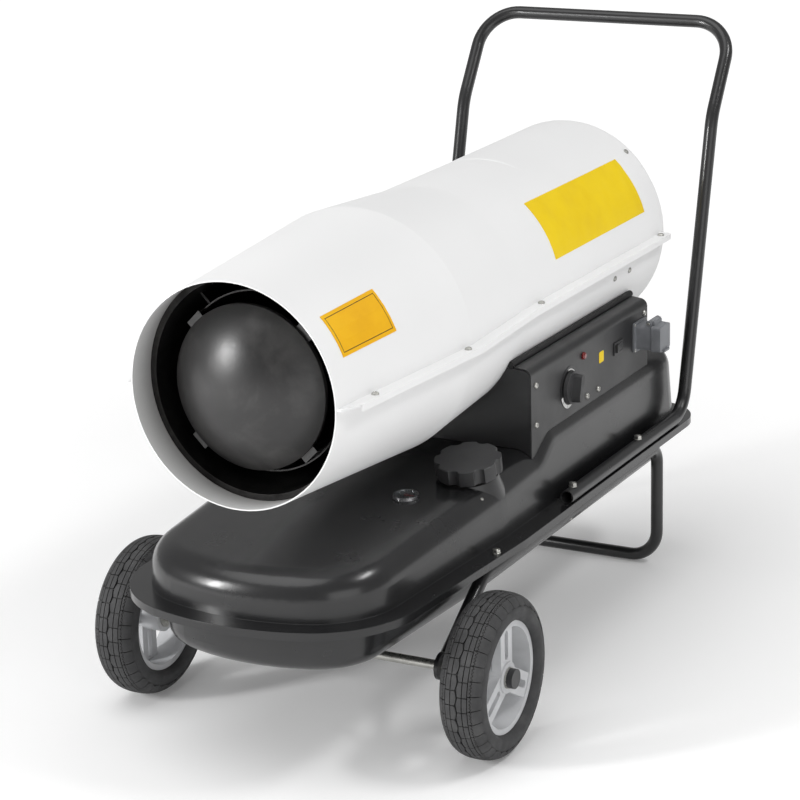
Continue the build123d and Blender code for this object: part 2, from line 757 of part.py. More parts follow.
with BuildPart() as tank_upper:
    add(upper_outer)
    add(outer_cone)
    with BuildSketch(Plane.XY.offset(SEAM_Z)):
        add(tank_plan(0))
    extrude(amount=SHEET)
    with BuildSketch(Plane.XY.offset(FLANGE_TOP_Z - LIP_DEPTH)):
        add(tank_plan(0))
        add(tank_plan(SHEET), mode=Mode.SUBTRACT)
    extrude(amount=LIP_DEPTH)
    add(upper_inner, mode=Mode.SUBTRACT)
    add(inner_cone, mode=Mode.SUBTRACT)
    with BuildSketch(filler_plane):
        Circle(NECK_D / 2 + RUN_FIT)
    extrude(amount=-SHEET * 2, mode=Mode.SUBTRACT)
    with Locations((GAUGE_X, GAUGE_Y, deck_z(GAUGE_Y))):
        Hole(GAUGE_D / 2 - GAUGE_RIM, depth=GAUGE_D)
    with Locations(*[(x, y, FLANGE_TOP_Z) for x, y in flange_bolt_places]):
        Hole(BOLT_D / 2 + RUN_FIT, depth=SHEET)
    with Locations((-LINE_X, LINE_Y, TANK_TOP_Z)):
        Hole(PICKUP_D / 2 + RUN_FIT, depth=SHEET)
finish(tank_upper, "tank_upper")

with BuildPart() as tank_lower:
    add(lower_outer)
    with BuildSketch(Plane.XY.offset(SEAM_Z - SHEET)):
        add(tank_plan(SHEET + SEAT))
    extrude(amount=SHEET)
    add(lower_inner, mode=Mode.SUBTRACT)
    with Locations(*[(x, y, SEAM_Z) for x, y in flange_bolt_places]):
        Hole(BOLT_D / 2 + RUN_FIT, depth=SHEET)
    with Locations((0, drain_y, TANK_BOTTOM_Z + SHEET)):
        Hole(DRAIN_D / 2 + RUN_FIT, depth=SHEET)
finish(tank_lower, "tank_lower")

# ---------------------------------------------------------------- barrel


def barrel_r(y):
    """Outer radius of the barrel at y."""
    if y < BELLY_Y:
        return OUTLET_R + (BELLY_R - OUTLET_R) * (y - OUTLET_Y) / (BELLY_Y - OUTLET_Y)
    if y < WAIST_Y:
        return BELLY_R + (WAIST_R - BELLY_R) * (y - BELLY_Y) / (WAIST_Y - BELLY_Y)
    return WAIST_R


def barrel_half(grow, up):
    """Upper or lower half of the barrel's body of revolution, grown by grow."""
    rear = REAR_Y + min(grow, 0)
    with BuildPart(mode=Mode.PRIVATE) as body:
        with BuildSketch(Plane.XY.offset(BARREL_Z)):
            with BuildLine():
                FilletPolyline(
                    (OUTLET_R + grow, OUTLET_Y),
                    (BELLY_R + grow, BELLY_Y),
                    (WAIST_R + grow, WAIST_Y),
                    (WAIST_R + grow, rear),
                    (REAR_HOLE_R, rear),
                    radius=[BELLY_ROUND, WAIST_ROUND, REAR_ROUND + grow],
                )
                Polyline((REAR_HOLE_R, rear), (0, rear), (0, OUTLET_Y), (OUTLET_R + grow, OUTLET_Y))
            make_face()
        revolve(axis=BARREL_AXIS, revolution_arc=180)
    return mirror(body.part, about=Plane.XY.offset(BARREL_Z)) if up else body.part


def hood_half(grow):
    """Raised rear hood of the upper shell, on its own higher axis."""
    rear = REAR_Y + min(grow, 0) - HOOD_BACK
    with BuildPart(mode=Mode.PRIVATE) as body:
        with BuildSketch(Plane.XY.offset(BARREL_Z + HOOD_RISE)):
            with BuildLine():
                FilletPolyline(
                    (0, HOOD_Y),
                    (HOOD_NOSE_R + grow, HOOD_Y),
                    (HOOD_R + grow, rear),
                    (0, rear),
                    radius=[REAR_ROUND + grow, REAR_ROUND + grow],
                )
                Line((0, rear), (0, HOOD_Y))
            make_face()
        revolve(axis=Axis((0, 0, BARREL_Z + HOOD_RISE), (0, 1, 0)))
        split(bisect_by=Plane.XY.offset(BARREL_Z), keep=Keep.TOP)
    return body.part


def flange_band(inner, outer):
    """Plan of the seam flanges beside the barrel, from inner to outer beyond the shell."""
    ear_x = barrel_r(EAR_FRONT_Y) + outer
    with BuildSketch(mode=Mode.PRIVATE) as band:
        with BuildLine():
            FilletPolyline(
                (OUTLET_R / 2, EAR_FRONT_Y),
                (ear_x, EAR_FRONT_Y),
                (BELLY_R + outer, BELLY_Y),
                (WAIST_R + outer, WAIST_Y),
                (WAIST_R + outer, EAR_REAR_Y),
                (OUTLET_R / 2, EAR_REAR_Y),
                radius=[EAR_ROUND, FLANGE_BELLY_ROUND, WAIST_ROUND, EAR_ROUND],
            )
            Line((OUTLET_R / 2, EAR_REAR_Y), (OUTLET_R / 2, EAR_FRONT_Y))
        make_face()
        with BuildLine():
            FilletPolyline(
                (OUTLET_R + inner, OUTLET_Y),
                (BELLY_R + inner, BELLY_Y),
                (WAIST_R + inner, WAIST_Y),
                (WAIST_R + inner, REAR_Y),
                radius=[BELLY_ROUND, WAIST_ROUND],
            )
            Polyline((WAIST_R + inner, REAR_Y), (0, REAR_Y), (0, OUTLET_Y), (OUTLET_R + inner, OUTLET_Y))
        make_face(mode=Mode.SUBTRACT)
    return band.sketch


def both_sides(face):
    """Face of the right side and its mirror image on the left."""
    return (face, mirror(face, about=Plane.YZ))


band_faces = both_sides(flange_band(-SHEET / 2, SHELL_FLANGE_W))
lip_faces = both_sides(flange_band(SHELL_FLANGE_W - SHEET, SHELL_FLANGE_W))
low_band_faces = both_sides(flange_band(-SHEET / 2, SHELL_FLANGE_W - SHEET - SEAT))
shell_holes = [
    (side * (barrel_r(y) + SHELL_SCREW_SET), y, BARREL_Z + SHEET)
    for side in (-1, 1)
    for y in SHELL_SCREW_YS
]

main_upper = barrel_half(0, True)
main_upper_bore = barrel_half(-SHEET, True)
main_lower = barrel_half(0, False)
main_lower_bore = barrel_half(-SHEET, False)
hood = hood_half(0)
hood_bore = hood_half(-SHEET)

with BuildPart() as upper_shell:
    add(main_upper)
    add(hood)
    for face in band_faces:
        with BuildSketch(Plane.XY.offset(BARREL_Z)):
            add(face)
        extrude(amount=SHEET)
    for face in lip_faces:
        with BuildSketch(Plane.XY.offset(BARREL_Z + SHEET - SHELL_LIP)):
            add(face)
        extrude(amount=SHELL_LIP)
    add(main_upper_bore, mode=Mode.SUBTRACT)
    add(hood_bore, mode=Mode.SUBTRACT)
    with BuildSketch(across(REAR_Y - SHEET)):
        Circle(REAR_HOLE_R)
    extrude(amount=SHEET, mode=Mode.SUBTRACT)
    with Locations(*shell_holes):
        Hole(SCREW_D / 2 + RUN_FIT, depth=SHEET)
finish(upper_shell, "upper_shell")

with BuildPart() as lower_shell:
    add(main_lower)
    for face in low_band_faces:
        with BuildSketch(Plane.XY.offset(BARREL_Z - SHEET)):
            add(face)
        extrude(amount=SHEET)
    add(main_lower_bore, mode=Mode.SUBTRACT)
    with BuildSketch(across(REAR_Y - SHEET)):
        Circle(REAR_HOLE_R)
    extrude(amount=SHEET, mode=Mode.SUBTRACT)
    with Locations(*[(x, y, BARREL_Z) for x, y, z in shell_holes]):
        Hole(SCREW_D / 2 + RUN_FIT, depth=SHEET)
    with Locations((-LINE_X, LINE_Y, BARREL_Z)):
        Hole(LINE_D / 2 + SLIDE_GAP, depth=WAIST_R)
finish(lower_shell, "lower_shell")

with BuildPart() as shell_screws:
    for place in shell_holes:
        with BuildSketch(Plane(origin=place)):
            Circle(SCREW_HEAD_D / 2)
        extrude(amount=SCREW_HEAD_H, taper=SCREW_HEAD_TAPER)
        with BuildSketch(Plane(origin=place)):
            Circle(SCREW_D / 2)
        extrude(amount=-2 * SHEET - SCREW_GRIP)
finish(shell_screws, "shell_screws")

# ---------------------------------------------------------------- hot parts

shell_bore_front = barrel_r(SHIELD_FRONT_Y) - SHEET
clip_in = SHIELD_R - SHIELD_T / 2
clip_out = WAIST_R - SHEET - SEAT
with BuildPart() as heat_shield:
    with BuildSketch(across(SHIELD_FRONT_Y)):
        Circle(shell_bore_front - SEAT)
        Circle(SHIELD_R - SHIELD_T, mode=Mode.SUBTRACT)
    extrude(amount=SHIELD_T)
    with BuildSketch(across(SHIELD_FRONT_Y)):
        Circle(SHIELD_R)
        Circle(SHIELD_R - SHIELD_T, mode=Mode.SUBTRACT)
    extrude(amount=SHIELD_REAR_Y - SHIELD_FRONT_Y)
    with BuildSketch(across(SHIELD_REAR_Y - CLIP_INSET - CLIP_L)):
        with PolarLocations((clip_in + clip_out) / 2, CLIPS, start_angle=CLIP_ANGLE):
            Rectangle(clip_out - clip_in, CLIP_W)
    extrude(amount=CLIP_L)
finish(heat_shield, "heat_shield")

with BuildPart() as combustion_chamber:
    with BuildSketch(across(CHAMBER_FRONT_Y)):
        Circle(CHAMBER_R)
        Circle(CHAMBER_R - CHAMBER_T, mode=Mode.SUBTRACT)
    extrude(amount=CHAMBER_REAR_Y - CHAMBER_FRONT_Y)
    with BuildSketch(across(CHAMBER_REAR_Y - CHAMBER_T)):
        Circle(CHAMBER_R)
        Circle(BURNER_R - BURNER_T, mode=Mode.SUBTRACT)
    extrude(amount=CHAMBER_T)
finish(combustion_chamber, "combustion_chamber")

bracket_in = CHAMBER_R + RUN_FIT
bracket_out = SHIELD_R - SHIELD_T - RUN_FIT
with BuildPart() as chamber_brackets:
    for y in (CHAMBER_FRONT_Y + BRACKET_FRONT_SET, CHAMBER_REAR_Y - BRACKET_REAR_SET):
        with BuildSketch(across(y)):
            with PolarLocations((bracket_in + bracket_out) / 2, CLIPS, start_angle=CLIP_ANGLE):
                Rectangle(bracket_out - bracket_in, BRACKET_T)
        extrude(amount=BRACKET_L)
finish(chamber_brackets, "chamber_brackets")

# Dome: a spherical dish with a short skirt, held by bent tabs that reach into the chamber
sphere_r = (DOME_R**2 + DOME_RISE**2) / (2 * DOME_RISE)
rim_angle = asin(DOME_R / sphere_r)
bore_angle = asin((DOME_R - DOME_T) / (sphere_r - DOME_T))
tab_y = DOME_Y + DOME_TAB_SET
tab_in = DOME_R - DOME_T
tab_out = CHAMBER_R - CHAMBER_T - SEAT


def dish_point(angle, inset):
    """Point of the dish's profile, pulled in by inset, at an angle in radians from its crown."""
    r = sphere_r - inset
    return (r * sin(angle), DOME_Y - DOME_RISE + sphere_r - r * cos(angle))


with BuildPart() as baffle_dome:
    with BuildSketch(Plane.XY.offset(BARREL_Z)):
        with BuildLine():
            outer = ThreePointArc(*[dish_point(rim_angle * part, 0) for part in (0, 0.5, 1)])
            inner = ThreePointArc(*[dish_point(bore_angle * part, DOME_T) for part in (1, 0.5, 0)])
            Polyline(outer @ 1, (DOME_R, tab_y + DOME_T), (tab_in, tab_y + DOME_T), inner @ 0)
            Line(inner @ 1, outer @ 0)
        make_face()
    revolve(axis=BARREL_AXIS)
    with BuildSketch(across(tab_y)):
        with PolarLocations((tab_in + tab_out) / 2, DOME_TABS, start_angle=CLIP_ANGLE):
            Rectangle(tab_out - tab_in, DOME_TAB_W)
    extrude(amount=DOME_T)
    with BuildSketch(across(tab_y)):
        with PolarLocations(tab_out - DOME_T / 2, DOME_TABS, start_angle=CLIP_ANGLE):
            Rectangle(DOME_T, DOME_LEG_W)
    extrude(amount=CHAMBER_FRONT_Y + DOME_LEG_REACH - tab_y)
finish(baffle_dome, "baffle_dome")

swirl_y = CHAMBER_REAR_Y + SWIRL_SET
with BuildPart() as burner_head:
    with BuildSketch(across(CHAMBER_REAR_Y)):
        Circle(BURNER_R)
        Circle(BURNER_R - BURNER_T, mode=Mode.SUBTRACT)
    extrude(amount=BURNER_L)
    with BuildSketch(across(swirl_y)):
        Circle(BURNER_R)
        Circle(NOZZLE_D / 2, mode=Mode.SUBTRACT)
        with PolarLocations(SWIRL_RING_R, SWIRL_SLOTS):
            SlotOverall(SWIRL_SLOT_L, SWIRL_SLOT_W, rotation=SWIRL_LEAN, mode=Mode.SUBTRACT)
        with Locations((-ELECTRODE_X, -ELECTRODE_RISE), (ELECTRODE_X, -ELECTRODE_RISE)):
            Circle(ELECTRODE_D / 2 + RUN_FIT, mode=Mode.SUBTRACT)
    extrude(amount=BURNER_T)
finish(burner_head, "burner_head")

with BuildPart() as fuel_nozzle:
    with BuildSketch(across(swirl_y - NOZZLE_TIP)):
        Circle(NOZZLE_D / 2)
    extrude(amount=NOZZLE_L)
    with BuildSketch(across(swirl_y + BURNER_T)):
        RegularPolygon(NOZZLE_NUT_R, 6)
    extrude(amount=NOZZLE_NUT_L)
finish(fuel_nozzle, "fuel_nozzle")

# ---------------------------------------------------------------- blower

with BuildPart() as motor:
    with BuildSketch(across(MOTOR_Y)):
        Circle(MOTOR_D / 2)
    extrude(amount=MOTOR_L)
    fillet(motor.edges().filter_by(GeomType.CIRCLE), radius=MOTOR_ROUND)
    with BuildSketch(across(MOTOR_Y)):
        Circle(SHAFT_D / 2 + RUN_FIT)
    extrude(amount=MOTOR_L, mode=Mode.SUBTRACT)
finish(motor, "motor")

# Saddle: a clamp ring round the motor on a box that stands on the lower shell
saddle_y = MOTOR_Y + (MOTOR_L - SADDLE_L) / 2
saddle_top = MOTOR_D / 2 + SHEET
saddle_foot = WAIST_R - SHEET
with BuildPart() as motor_bracket:
    with BuildSketch(across(saddle_y)):
        Circle(MOTOR_D / 2 + SADDLE_WALL)
        Circle(MOTOR_D / 2, mode=Mode.SUBTRACT)
        with Locations((0, (saddle_top + saddle_foot) / 2)):
            Rectangle(SADDLE_W, saddle_foot - saddle_top)
            Rectangle(
                SADDLE_W - 2 * SADDLE_WALL,
                saddle_foot - saddle_top - 2 * SADDLE_PLATE,
                mode=Mode.SUBTRACT,
            )
        Circle(saddle_foot - SEAT, mode=Mode.INTERSECT)
    extrude(amount=SADDLE_L)
finish(motor_bracket, "motor_bracket")

with BuildPart() as pump_body:
    with BuildSketch(across(MOTOR_Y + MOTOR_L)):
        Circle(PUMP_D / 2)
    extrude(amount=PUMP_L)
    with BuildSketch(across(MOTOR_Y + MOTOR_L)):
        Circle(SHAFT_D / 2 + RUN_FIT)
    extrude(amount=PUMP_L, mode=Mode.SUBTRACT)
    with BuildSketch(across(SHAFT_END_Y - ROTOR_T - 2 * SLIDE_GAP)):
        Circle(ROTOR_D / 2 + SLIDE_GAP)
    extrude(amount=ROTOR_T + 4 * SLIDE_GAP, mode=Mode.SUBTRACT)
finish(pump_body, "pump_body")

with BuildPart() as pump_cover:
    with BuildSketch(across(MOTOR_Y + MOTOR_L + PUMP_L)):
        Circle(PUMP_D / 2)
    extrude(amount=PUMP_COVER_L, taper=PUMP_COVER_TAPER)
    with BuildSketch(across(MOTOR_Y + MOTOR_L + PUMP_L + PUMP_COVER_L)):
        with GridLocations(PUMP_SCREW_PITCH, PUMP_SCREW_PITCH, 2, 2):
            Circle(PUMP_SCREW_R)
    extrude(amount=PUMP_SCREW_H)
finish(pump_cover, "pump_cover")

with BuildPart() as blade:
    with BuildSketch(Plane.XY.offset(FAN_HUB_D / 2 - BLADE_ROOT)):
        with BuildLine():
            ThreePointArc(
                (-BLADE_CHORD / 2, -BLADE_BOW / 2),
                (0, -BLADE_CAMBER),
                (BLADE_CHORD / 2, BLADE_BOW / 2),
            )
        trace(line_width=BLADE_T)
    extrude(amount=FAN_R - FAN_HUB_D / 2 + BLADE_ROOT)
blade_up = blade.part

fan_plane = across(FAN_Y)
with BuildPart(fan_plane) as fan:
    with BuildSketch(fan_plane.offset(-FAN_W / 2)):
        Circle(FAN_HUB_D / 2)
    extrude(amount=FAN_W)
    with PolarLocations(0, FAN_BLADES):
        add(blade_up, rotation=(0, 90, 0))
    with BuildSketch(fan_plane.offset(-FAN_W / 2)):
        Circle(SHAFT_D / 2)
    extrude(amount=FAN_W, mode=Mode.SUBTRACT)
finish(fan, "fan")

shaft_start_y = FAN_Y - FAN_W / 2 - SHAFT_STUB
with BuildPart() as rotor_shaft:
    with BuildSketch(across(shaft_start_y)):
        Circle(SHAFT_D / 2)
    extrude(amount=SHAFT_END_Y - ROTOR_T - shaft_start_y)
    with BuildSketch(across(SHAFT_END_Y - ROTOR_T)):
        Circle(ROTOR_D / 2)
        with PolarLocations(ROTOR_D / 2, ROTOR_VANES):
            Rectangle(VANE_L, VANE_W, mode=Mode.SUBTRACT)
    extrude(amount=ROTOR_T)
finish(rotor_shaft, "rotor_shaft")

grille_open_r = REAR_HOLE_R - GRILLE_LAP
with BuildPart() as rear_grille:
    with BuildSketch(across(REAR_Y - SHEET - GRILLE_T - SEAT)):
        Circle(REAR_HOLE_R + GRILLE_LAP)
        Circle(grille_open_r, mode=Mode.SUBTRACT)
        for ring in reversed(range(1, GRILLE_RINGS)):
            ring_r = grille_open_r * ring / GRILLE_RINGS
            Circle(ring_r + GRILLE_BAR / 2)
            Circle(ring_r - GRILLE_BAR / 2, mode=Mode.SUBTRACT)
        with PolarLocations(grille_open_r / 2 + GRILLE_BAR, GRILLE_SPOKES):
            Rectangle(grille_open_r - GRILLE_BAR, GRILLE_BAR)
    extrude(amount=GRILLE_T)
finish(rear_grille, "rear_grille")

# ---------------------------------------------------------------- cradle and control box

barrel_grown = barrel_half(SEAT, False)
tank_lifted = Pos(0, 0, SEAT) * upper_outer
strip_r = WAIST_R + SEAT + STRIP_D / 2
strip_x = strip_r * cos(radians(STRIP_ANGLE))
strip_z = BARREL_Z - strip_r * sin(radians(STRIP_ANGLE))
edge_r = WAIST_R + SEAT + STRIP_D + STRIP_GAP
edge_x = edge_r * cos(radians(STRIP_ANGLE))
edge_z = BARREL_Z - edge_r * sin(radians(STRIP_ANGLE))
panel_top_z = edge_z - PANEL_FALL
wall_low = DECK_FRONT_Z
cradle_length = CRADLE_REAR_Y - CRADLE_FRONT_Y


def side_sheet(side):
    """Side wall of the cradle with its rounded top edge, from the tank to the barrel."""
    x = side * (PANEL_X - SHEET / 2)
    with BuildPart(mode=Mode.PRIVATE) as sheet:
        with BuildSketch(Plane.XZ.offset(-CRADLE_FRONT_Y)):
            with BuildLine():
                FilletPolyline((x, wall_low), (x, panel_top_z), (side * edge_x, edge_z), radius=PANEL_BEND)
            trace(line_width=SHEET)
        extrude(amount=-cradle_length)
    return sheet.part


def cross_wall(y):
    """Wall across the cradle at y, inside the side sheets."""
    inner = PANEL_X - SHEET - SEAT
    with BuildPart(mode=Mode.PRIVATE) as wall:
        with BuildSketch(Plane.XZ.offset(-y)):
            with BuildLine():
                FilletPolyline(
                    (-inner, wall_low),
                    (-inner, panel_top_z - SHEET - SEAT),
                    (-edge_x + SHEET, edge_z - SHEET - SEAT),
                    (edge_x - SHEET, edge_z - SHEET - SEAT),
                    (inner, panel_top_z - SHEET - SEAT),
                    (inner, wall_low),
                    radius=[PANEL_BEND - SHEET, 0, 0, PANEL_BEND - SHEET],
                )
                Line((inner, wall_low), (-inner, wall_low))
            make_face()
        extrude(amount=-SHEET)
    return wall.part


def strip_pair(grow):
    """Edge strips of both sides before the barrel is cut out of them, grown by grow."""
    with BuildPart(mode=Mode.PRIVATE) as strips:
        for side in (-1, 1):
            with BuildSketch(Plane.XZ.offset(-CRADLE_FRONT_Y)):
                with Locations((side * strip_x, strip_z)):
                    Circle(STRIP_D / 2 + grow)
            extrude(amount=-cradle_length - STRIP_OVERHANG)
    return strips.part


strips_plain = strip_pair(0)
strips_grown = strip_pair(SEAT)
left_sheet = side_sheet(-1)
right_sheet = side_sheet(1)
front_wall = cross_wall(CRADLE_FRONT_Y + SEAT)
rear_wall = cross_wall(CRADLE_REAR_Y - SHEET - SEAT)

lap_t = 2 * SHEET + SEAT  # of side sheet and flange together

with BuildPart() as support_cradle:
    add(front_wall)
    add(rear_wall)
    add(left_sheet)
    for y in (CRADLE_FRONT_Y + SEAT + CRADLE_LAP / 2, CRADLE_REAR_Y - SEAT - CRADLE_LAP / 2):
        with BuildSketch(Plane.XY.offset(wall_low)):
            with Locations((-PANEL_X + lap_t / 2, y)):
                Rectangle(lap_t, CRADLE_LAP)
        extrude(amount=panel_top_z - 2 * PANEL_BEND - wall_low)
    add(barrel_grown, mode=Mode.SUBTRACT)
    add(strips_grown, mode=Mode.SUBTRACT)
    add(tank_lifted, mode=Mode.SUBTRACT)
finish(support_cradle, "support_cradle")

with BuildPart() as control_cover:
    add(right_sheet)
    add(tank_lifted, mode=Mode.SUBTRACT)
    with BuildSketch(upright(PANEL_X - SHEET, z=TANK_TOP_Z)):
        with Locations(KNOB_AT):
            Circle(KNOB_SHAFT_D / 2 + SLIDE_GAP)
        with Locations(LAMP_AT):
            Circle(LAMP_D / 2 - LAMP_LIP)
        with Locations(ROCKER_AT):
            Rectangle(ROCKER_L + 2 * ROCKER_FRAME_WALL, ROCKER_W + 2 * ROCKER_FRAME_WALL)
        with Locations(SOCKET_AT):
            Circle(SOCKET_BODY / 2 - SOCKET_WALL)
        with Locations(*PANEL_SCREWS):
            Circle(SCREW_D / 2 + RUN_FIT)
        with Locations(*BOARD_SCREWS):
            Circle(SCREW_D / 2 + RUN_FIT)
    extrude(amount=SHEET, mode=Mode.SUBTRACT)
finish(control_cover, "control_cover")

with BuildPart() as edge_strips:
    add(strips_plain)
    add(barrel_grown, mode=Mode.SUBTRACT)
finish(edge_strips, "edge_strips")

with BuildPart() as cover_screws:
    for place in (*PANEL_SCREWS, *BOARD_SCREWS):
        head_plane = on_panel(place, PANEL_X)
        with BuildSketch(head_plane):
            Circle(SCREW_HEAD_D / 2)
        extrude(amount=SCREW_HEAD_H, taper=SCREW_HEAD_TAPER)
        with BuildSketch(head_plane):
            Circle(SCREW_D / 2)
        extrude(amount=-SHEET - COVER_SCREW_GRIP)
finish(cover_screws, "cover_screws")

# Thermostat behind the panel with the knob on its shaft
knob_plane = on_panel(KNOB_AT, PANEL_X)
with BuildPart() as thermostat_body:
    with BuildSketch(knob_plane.offset(-SHEET)):
        Rectangle(THERMOSTAT_D, THERMOSTAT_D)
    extrude(amount=-THERMOSTAT_L)
    with BuildSketch(knob_plane.offset(-SHEET)):
        Circle(KNOB_SHAFT_D / 2 + RUN_FIT)
    extrude(amount=-THERMOSTAT_L + SHAFT_BED, mode=Mode.SUBTRACT)
finish(thermostat_body, "thermostat_body")

with BuildPart() as thermostat_knob:
    with BuildSketch(knob_plane.offset(KNOB_LIFT)):
        Circle(KNOB_D / 2)
    extrude(amount=KNOB_SKIRT_H, taper=KNOB_SKIRT_TAPER)
    with BuildSketch(knob_plane.offset(KNOB_LIFT + KNOB_SKIRT_H)):
        SlotOverall(KNOB_D - 2 * KNOB_GRIP_MARGIN, KNOB_GRIP_W, rotation=KNOB_REST_ANGLE)
    extrude(amount=KNOB_H - KNOB_SKIRT_H, taper=KNOB_GRIP_TAPER)
    with BuildSketch(knob_plane.offset(KNOB_LIFT)):
        Circle(KNOB_SHAFT_D / 2)
    extrude(amount=-KNOB_LIFT - SHEET - THERMOSTAT_L + 2 * SHAFT_BED)
finish(thermostat_knob, "thermostat_knob")

with BuildPart() as dial_plate:
    with BuildSketch(knob_plane):
        Circle(KNOB_D / 2 + DIAL_W)
        Circle(KNOB_SHAFT_D / 2 + SLIDE_GAP, mode=Mode.SUBTRACT)
    extrude(amount=DIAL_T)
finish(dial_plate, "dial_plate")

lamp_plane = on_panel(LAMP_AT, PANEL_X)
with BuildPart() as indicator_lamp:
    with BuildSketch(lamp_plane):
        Circle(LAMP_D / 2)
    extrude(amount=LAMP_H)
    fillet(indicator_lamp.edges().sort_by(Axis.X)[-1], radius=LAMP_ROUND)
    with BuildSketch(lamp_plane):
        Circle(LAMP_D / 2 - LAMP_LIP - RUN_FIT)
    extrude(amount=-LAMP_BODY_L)
finish(indicator_lamp, "indicator_lamp")

rocker_plane = on_panel(ROCKER_AT, PANEL_X)
rocker_pivot = (PANEL_X - ROCKER_PIVOT_SET, ROCKER_AT[0])
rocker_z = TANK_TOP_Z + ROCKER_AT[1]
with BuildPart() as switch_frame:
    with BuildSketch(rocker_plane):
        Rectangle(ROCKER_L + 2 * ROCKER_BEZEL, ROCKER_W + 2 * ROCKER_BEZEL)
    extrude(amount=ROCKER_FRAME_T)
    with BuildSketch(rocker_plane):
        Rectangle(
            ROCKER_L + 2 * (ROCKER_FRAME_WALL - RUN_FIT),
            ROCKER_W + 2 * (ROCKER_FRAME_WALL - RUN_FIT),
        )
    extrude(amount=-ROCKER_DEPTH)
    with BuildSketch(rocker_plane.offset(ROCKER_FRAME_T)):
        Rectangle(ROCKER_L + 2 * SLIDE_GAP, ROCKER_W + 2 * SIDE_GAP)
    extrude(amount=ROCKER_FRAME_T - ROCKER_DEPTH, mode=Mode.SUBTRACT)
    with BuildSketch(Plane.XY.offset(rocker_z - ROCKER_W)):
        with Locations(rocker_pivot):
            Circle(ROCKER_PIN_R + RUN_FIT)
    extrude(amount=2 * ROCKER_W, mode=Mode.SUBTRACT)
finish(switch_frame, "switch_frame")

# Rocker: a shallow V seen from above, modelled tipped to its OFF side, turning about a level pin
rocker_half = ROCKER_L / 2 - 2 * SIDE_GAP
with BuildPart() as power_rocker:
    with BuildSketch(Plane.XY.offset(rocker_z - ROCKER_W / 2 + SIDE_GAP)):
        with Locations(rocker_pivot):
            Circle(ROCKER_EYE_R)
        with Locations(Location((*rocker_pivot, 0), ROCKER_TILT)):
            Polygon(
                (ROCKER_BACK, -rocker_half),
                (ROCKER_NOSE, -rocker_half),
                (ROCKER_NOSE - ROCKER_DISH, 0),
                (ROCKER_NOSE, rocker_half),
                (ROCKER_BACK, rocker_half),
                (0, 0),
                align=None,
            )
    extrude(amount=ROCKER_W - 2 * SIDE_GAP)
    with BuildSketch(Plane.XY.offset(rocker_z - ROCKER_W / 2 - ROCKER_PIN_REACH)):
        with Locations(rocker_pivot):
            Circle(ROCKER_PIN_R)
    extrude(amount=ROCKER_W + 2 * ROCKER_PIN_REACH)
finish(power_rocker, "power_rocker")

board_x = PANEL_X - SHEET - BOARD_GAP
board_y = sum(y for y, rise in BOARD_SCREWS) / len(BOARD_SCREWS)
with BuildPart() as control_board:
    with BuildSketch(on_panel((board_y, BOARD_SCREWS[0][1] + BOARD_RISE), board_x)):
        Rectangle(BOARD_L, BOARD_H)
    extrude(amount=-BOARD_T)
    for place in BOARD_SCREWS:
        with BuildSketch(on_panel(place, board_x)):
            Circle(BOARD_POST_R)
            Circle(SCREW_D / 2 + RUN_FIT, mode=Mode.SUBTRACT)
        extrude(amount=BOARD_GAP)
finish(control_board, "control_board")

with BuildPart() as ignition_transformer:
    transformer_at = (TRANSFORMER_Y, TRANSFORMER_LIFT + TRANSFORMER_H / 2)
    with BuildSketch(on_panel(transformer_at, -PANEL_X + SHEET)):
        Rectangle(TRANSFORMER_L, TRANSFORMER_H)
    extrude(amount=TRANSFORMER_W)
    fillet(ignition_transformer.edges().filter_by(Axis.X), radius=TRANSFORMER_ROUND)
finish(ignition_transformer, "ignition_transformer")

# ---------------------------------------------------------------- thermostat socket

socket_plane = on_panel(SOCKET_AT, PANEL_X)
socket_z = TANK_TOP_Z + SOCKET_AT[1]
body_front_x = PANEL_X + SOCKET_PLATE_T + SOCKET_REACH
lid_back_x = body_front_x + SLIDE_GAP
pin_x = body_front_x - LID_PIN_D
pin_z = socket_z + SOCKET_BODY / 2 + LID_PIN_D
with BuildPart() as socket_housing:
    with BuildSketch(socket_plane):
        RectangleRounded(SOCKET_PLATE, SOCKET_PLATE_H, SOCKET_PLATE_ROUND)
    extrude(amount=SOCKET_PLATE_T)
    with BuildSketch(socket_plane.offset(SOCKET_PLATE_T)):
        RectangleRounded(SOCKET_BODY, SOCKET_BODY, SOCKET_ROUND)
    extrude(amount=SOCKET_REACH)
    for end in (-1, 1):
        ear_y = SOCKET_AT[0] + end * (SOCKET_BODY / 2 - EAR_T / 2)
        with BuildSketch(Plane.XZ.offset(-ear_y - EAR_T / 2)):
            with Locations((pin_x, pin_z)):
                Circle(LID_PIN_D)
            with Locations((pin_x, pin_z - LID_PIN_D)):
                Rectangle(2 * LID_PIN_D, 2 * LID_PIN_D)
        extrude(amount=EAR_T)
    with BuildSketch(Plane.XZ.offset(-SOCKET_AT[0] - SOCKET_BODY)):
        with Locations((pin_x, pin_z)):
            Circle(LID_PIN_D / 2 + RUN_FIT)
    extrude(amount=2 * SOCKET_BODY, mode=Mode.SUBTRACT)
    with BuildSketch(socket_plane.offset(SOCKET_PLATE_T + SOCKET_FLOOR)):
        RectangleRounded(SOCKET_BODY - 2 * SOCKET_WALL, SOCKET_BODY - 2 * SOCKET_WALL, SOCKET_BORE_ROUND)
    extrude(amount=SOCKET_REACH, mode=Mode.SUBTRACT)
finish(socket_housing, "socket_housing")

with BuildPart() as lid_pin:
    with BuildSketch(Plane.XZ.offset(-SOCKET_AT[0] - SOCKET_BODY / 2 - LID_PIN_END)):
        with Locations((pin_x, pin_z)):
            Circle(LID_PIN_D / 2)
    extrude(amount=SOCKET_BODY + 2 * LID_PIN_END)
finish(lid_pin, "lid_pin")

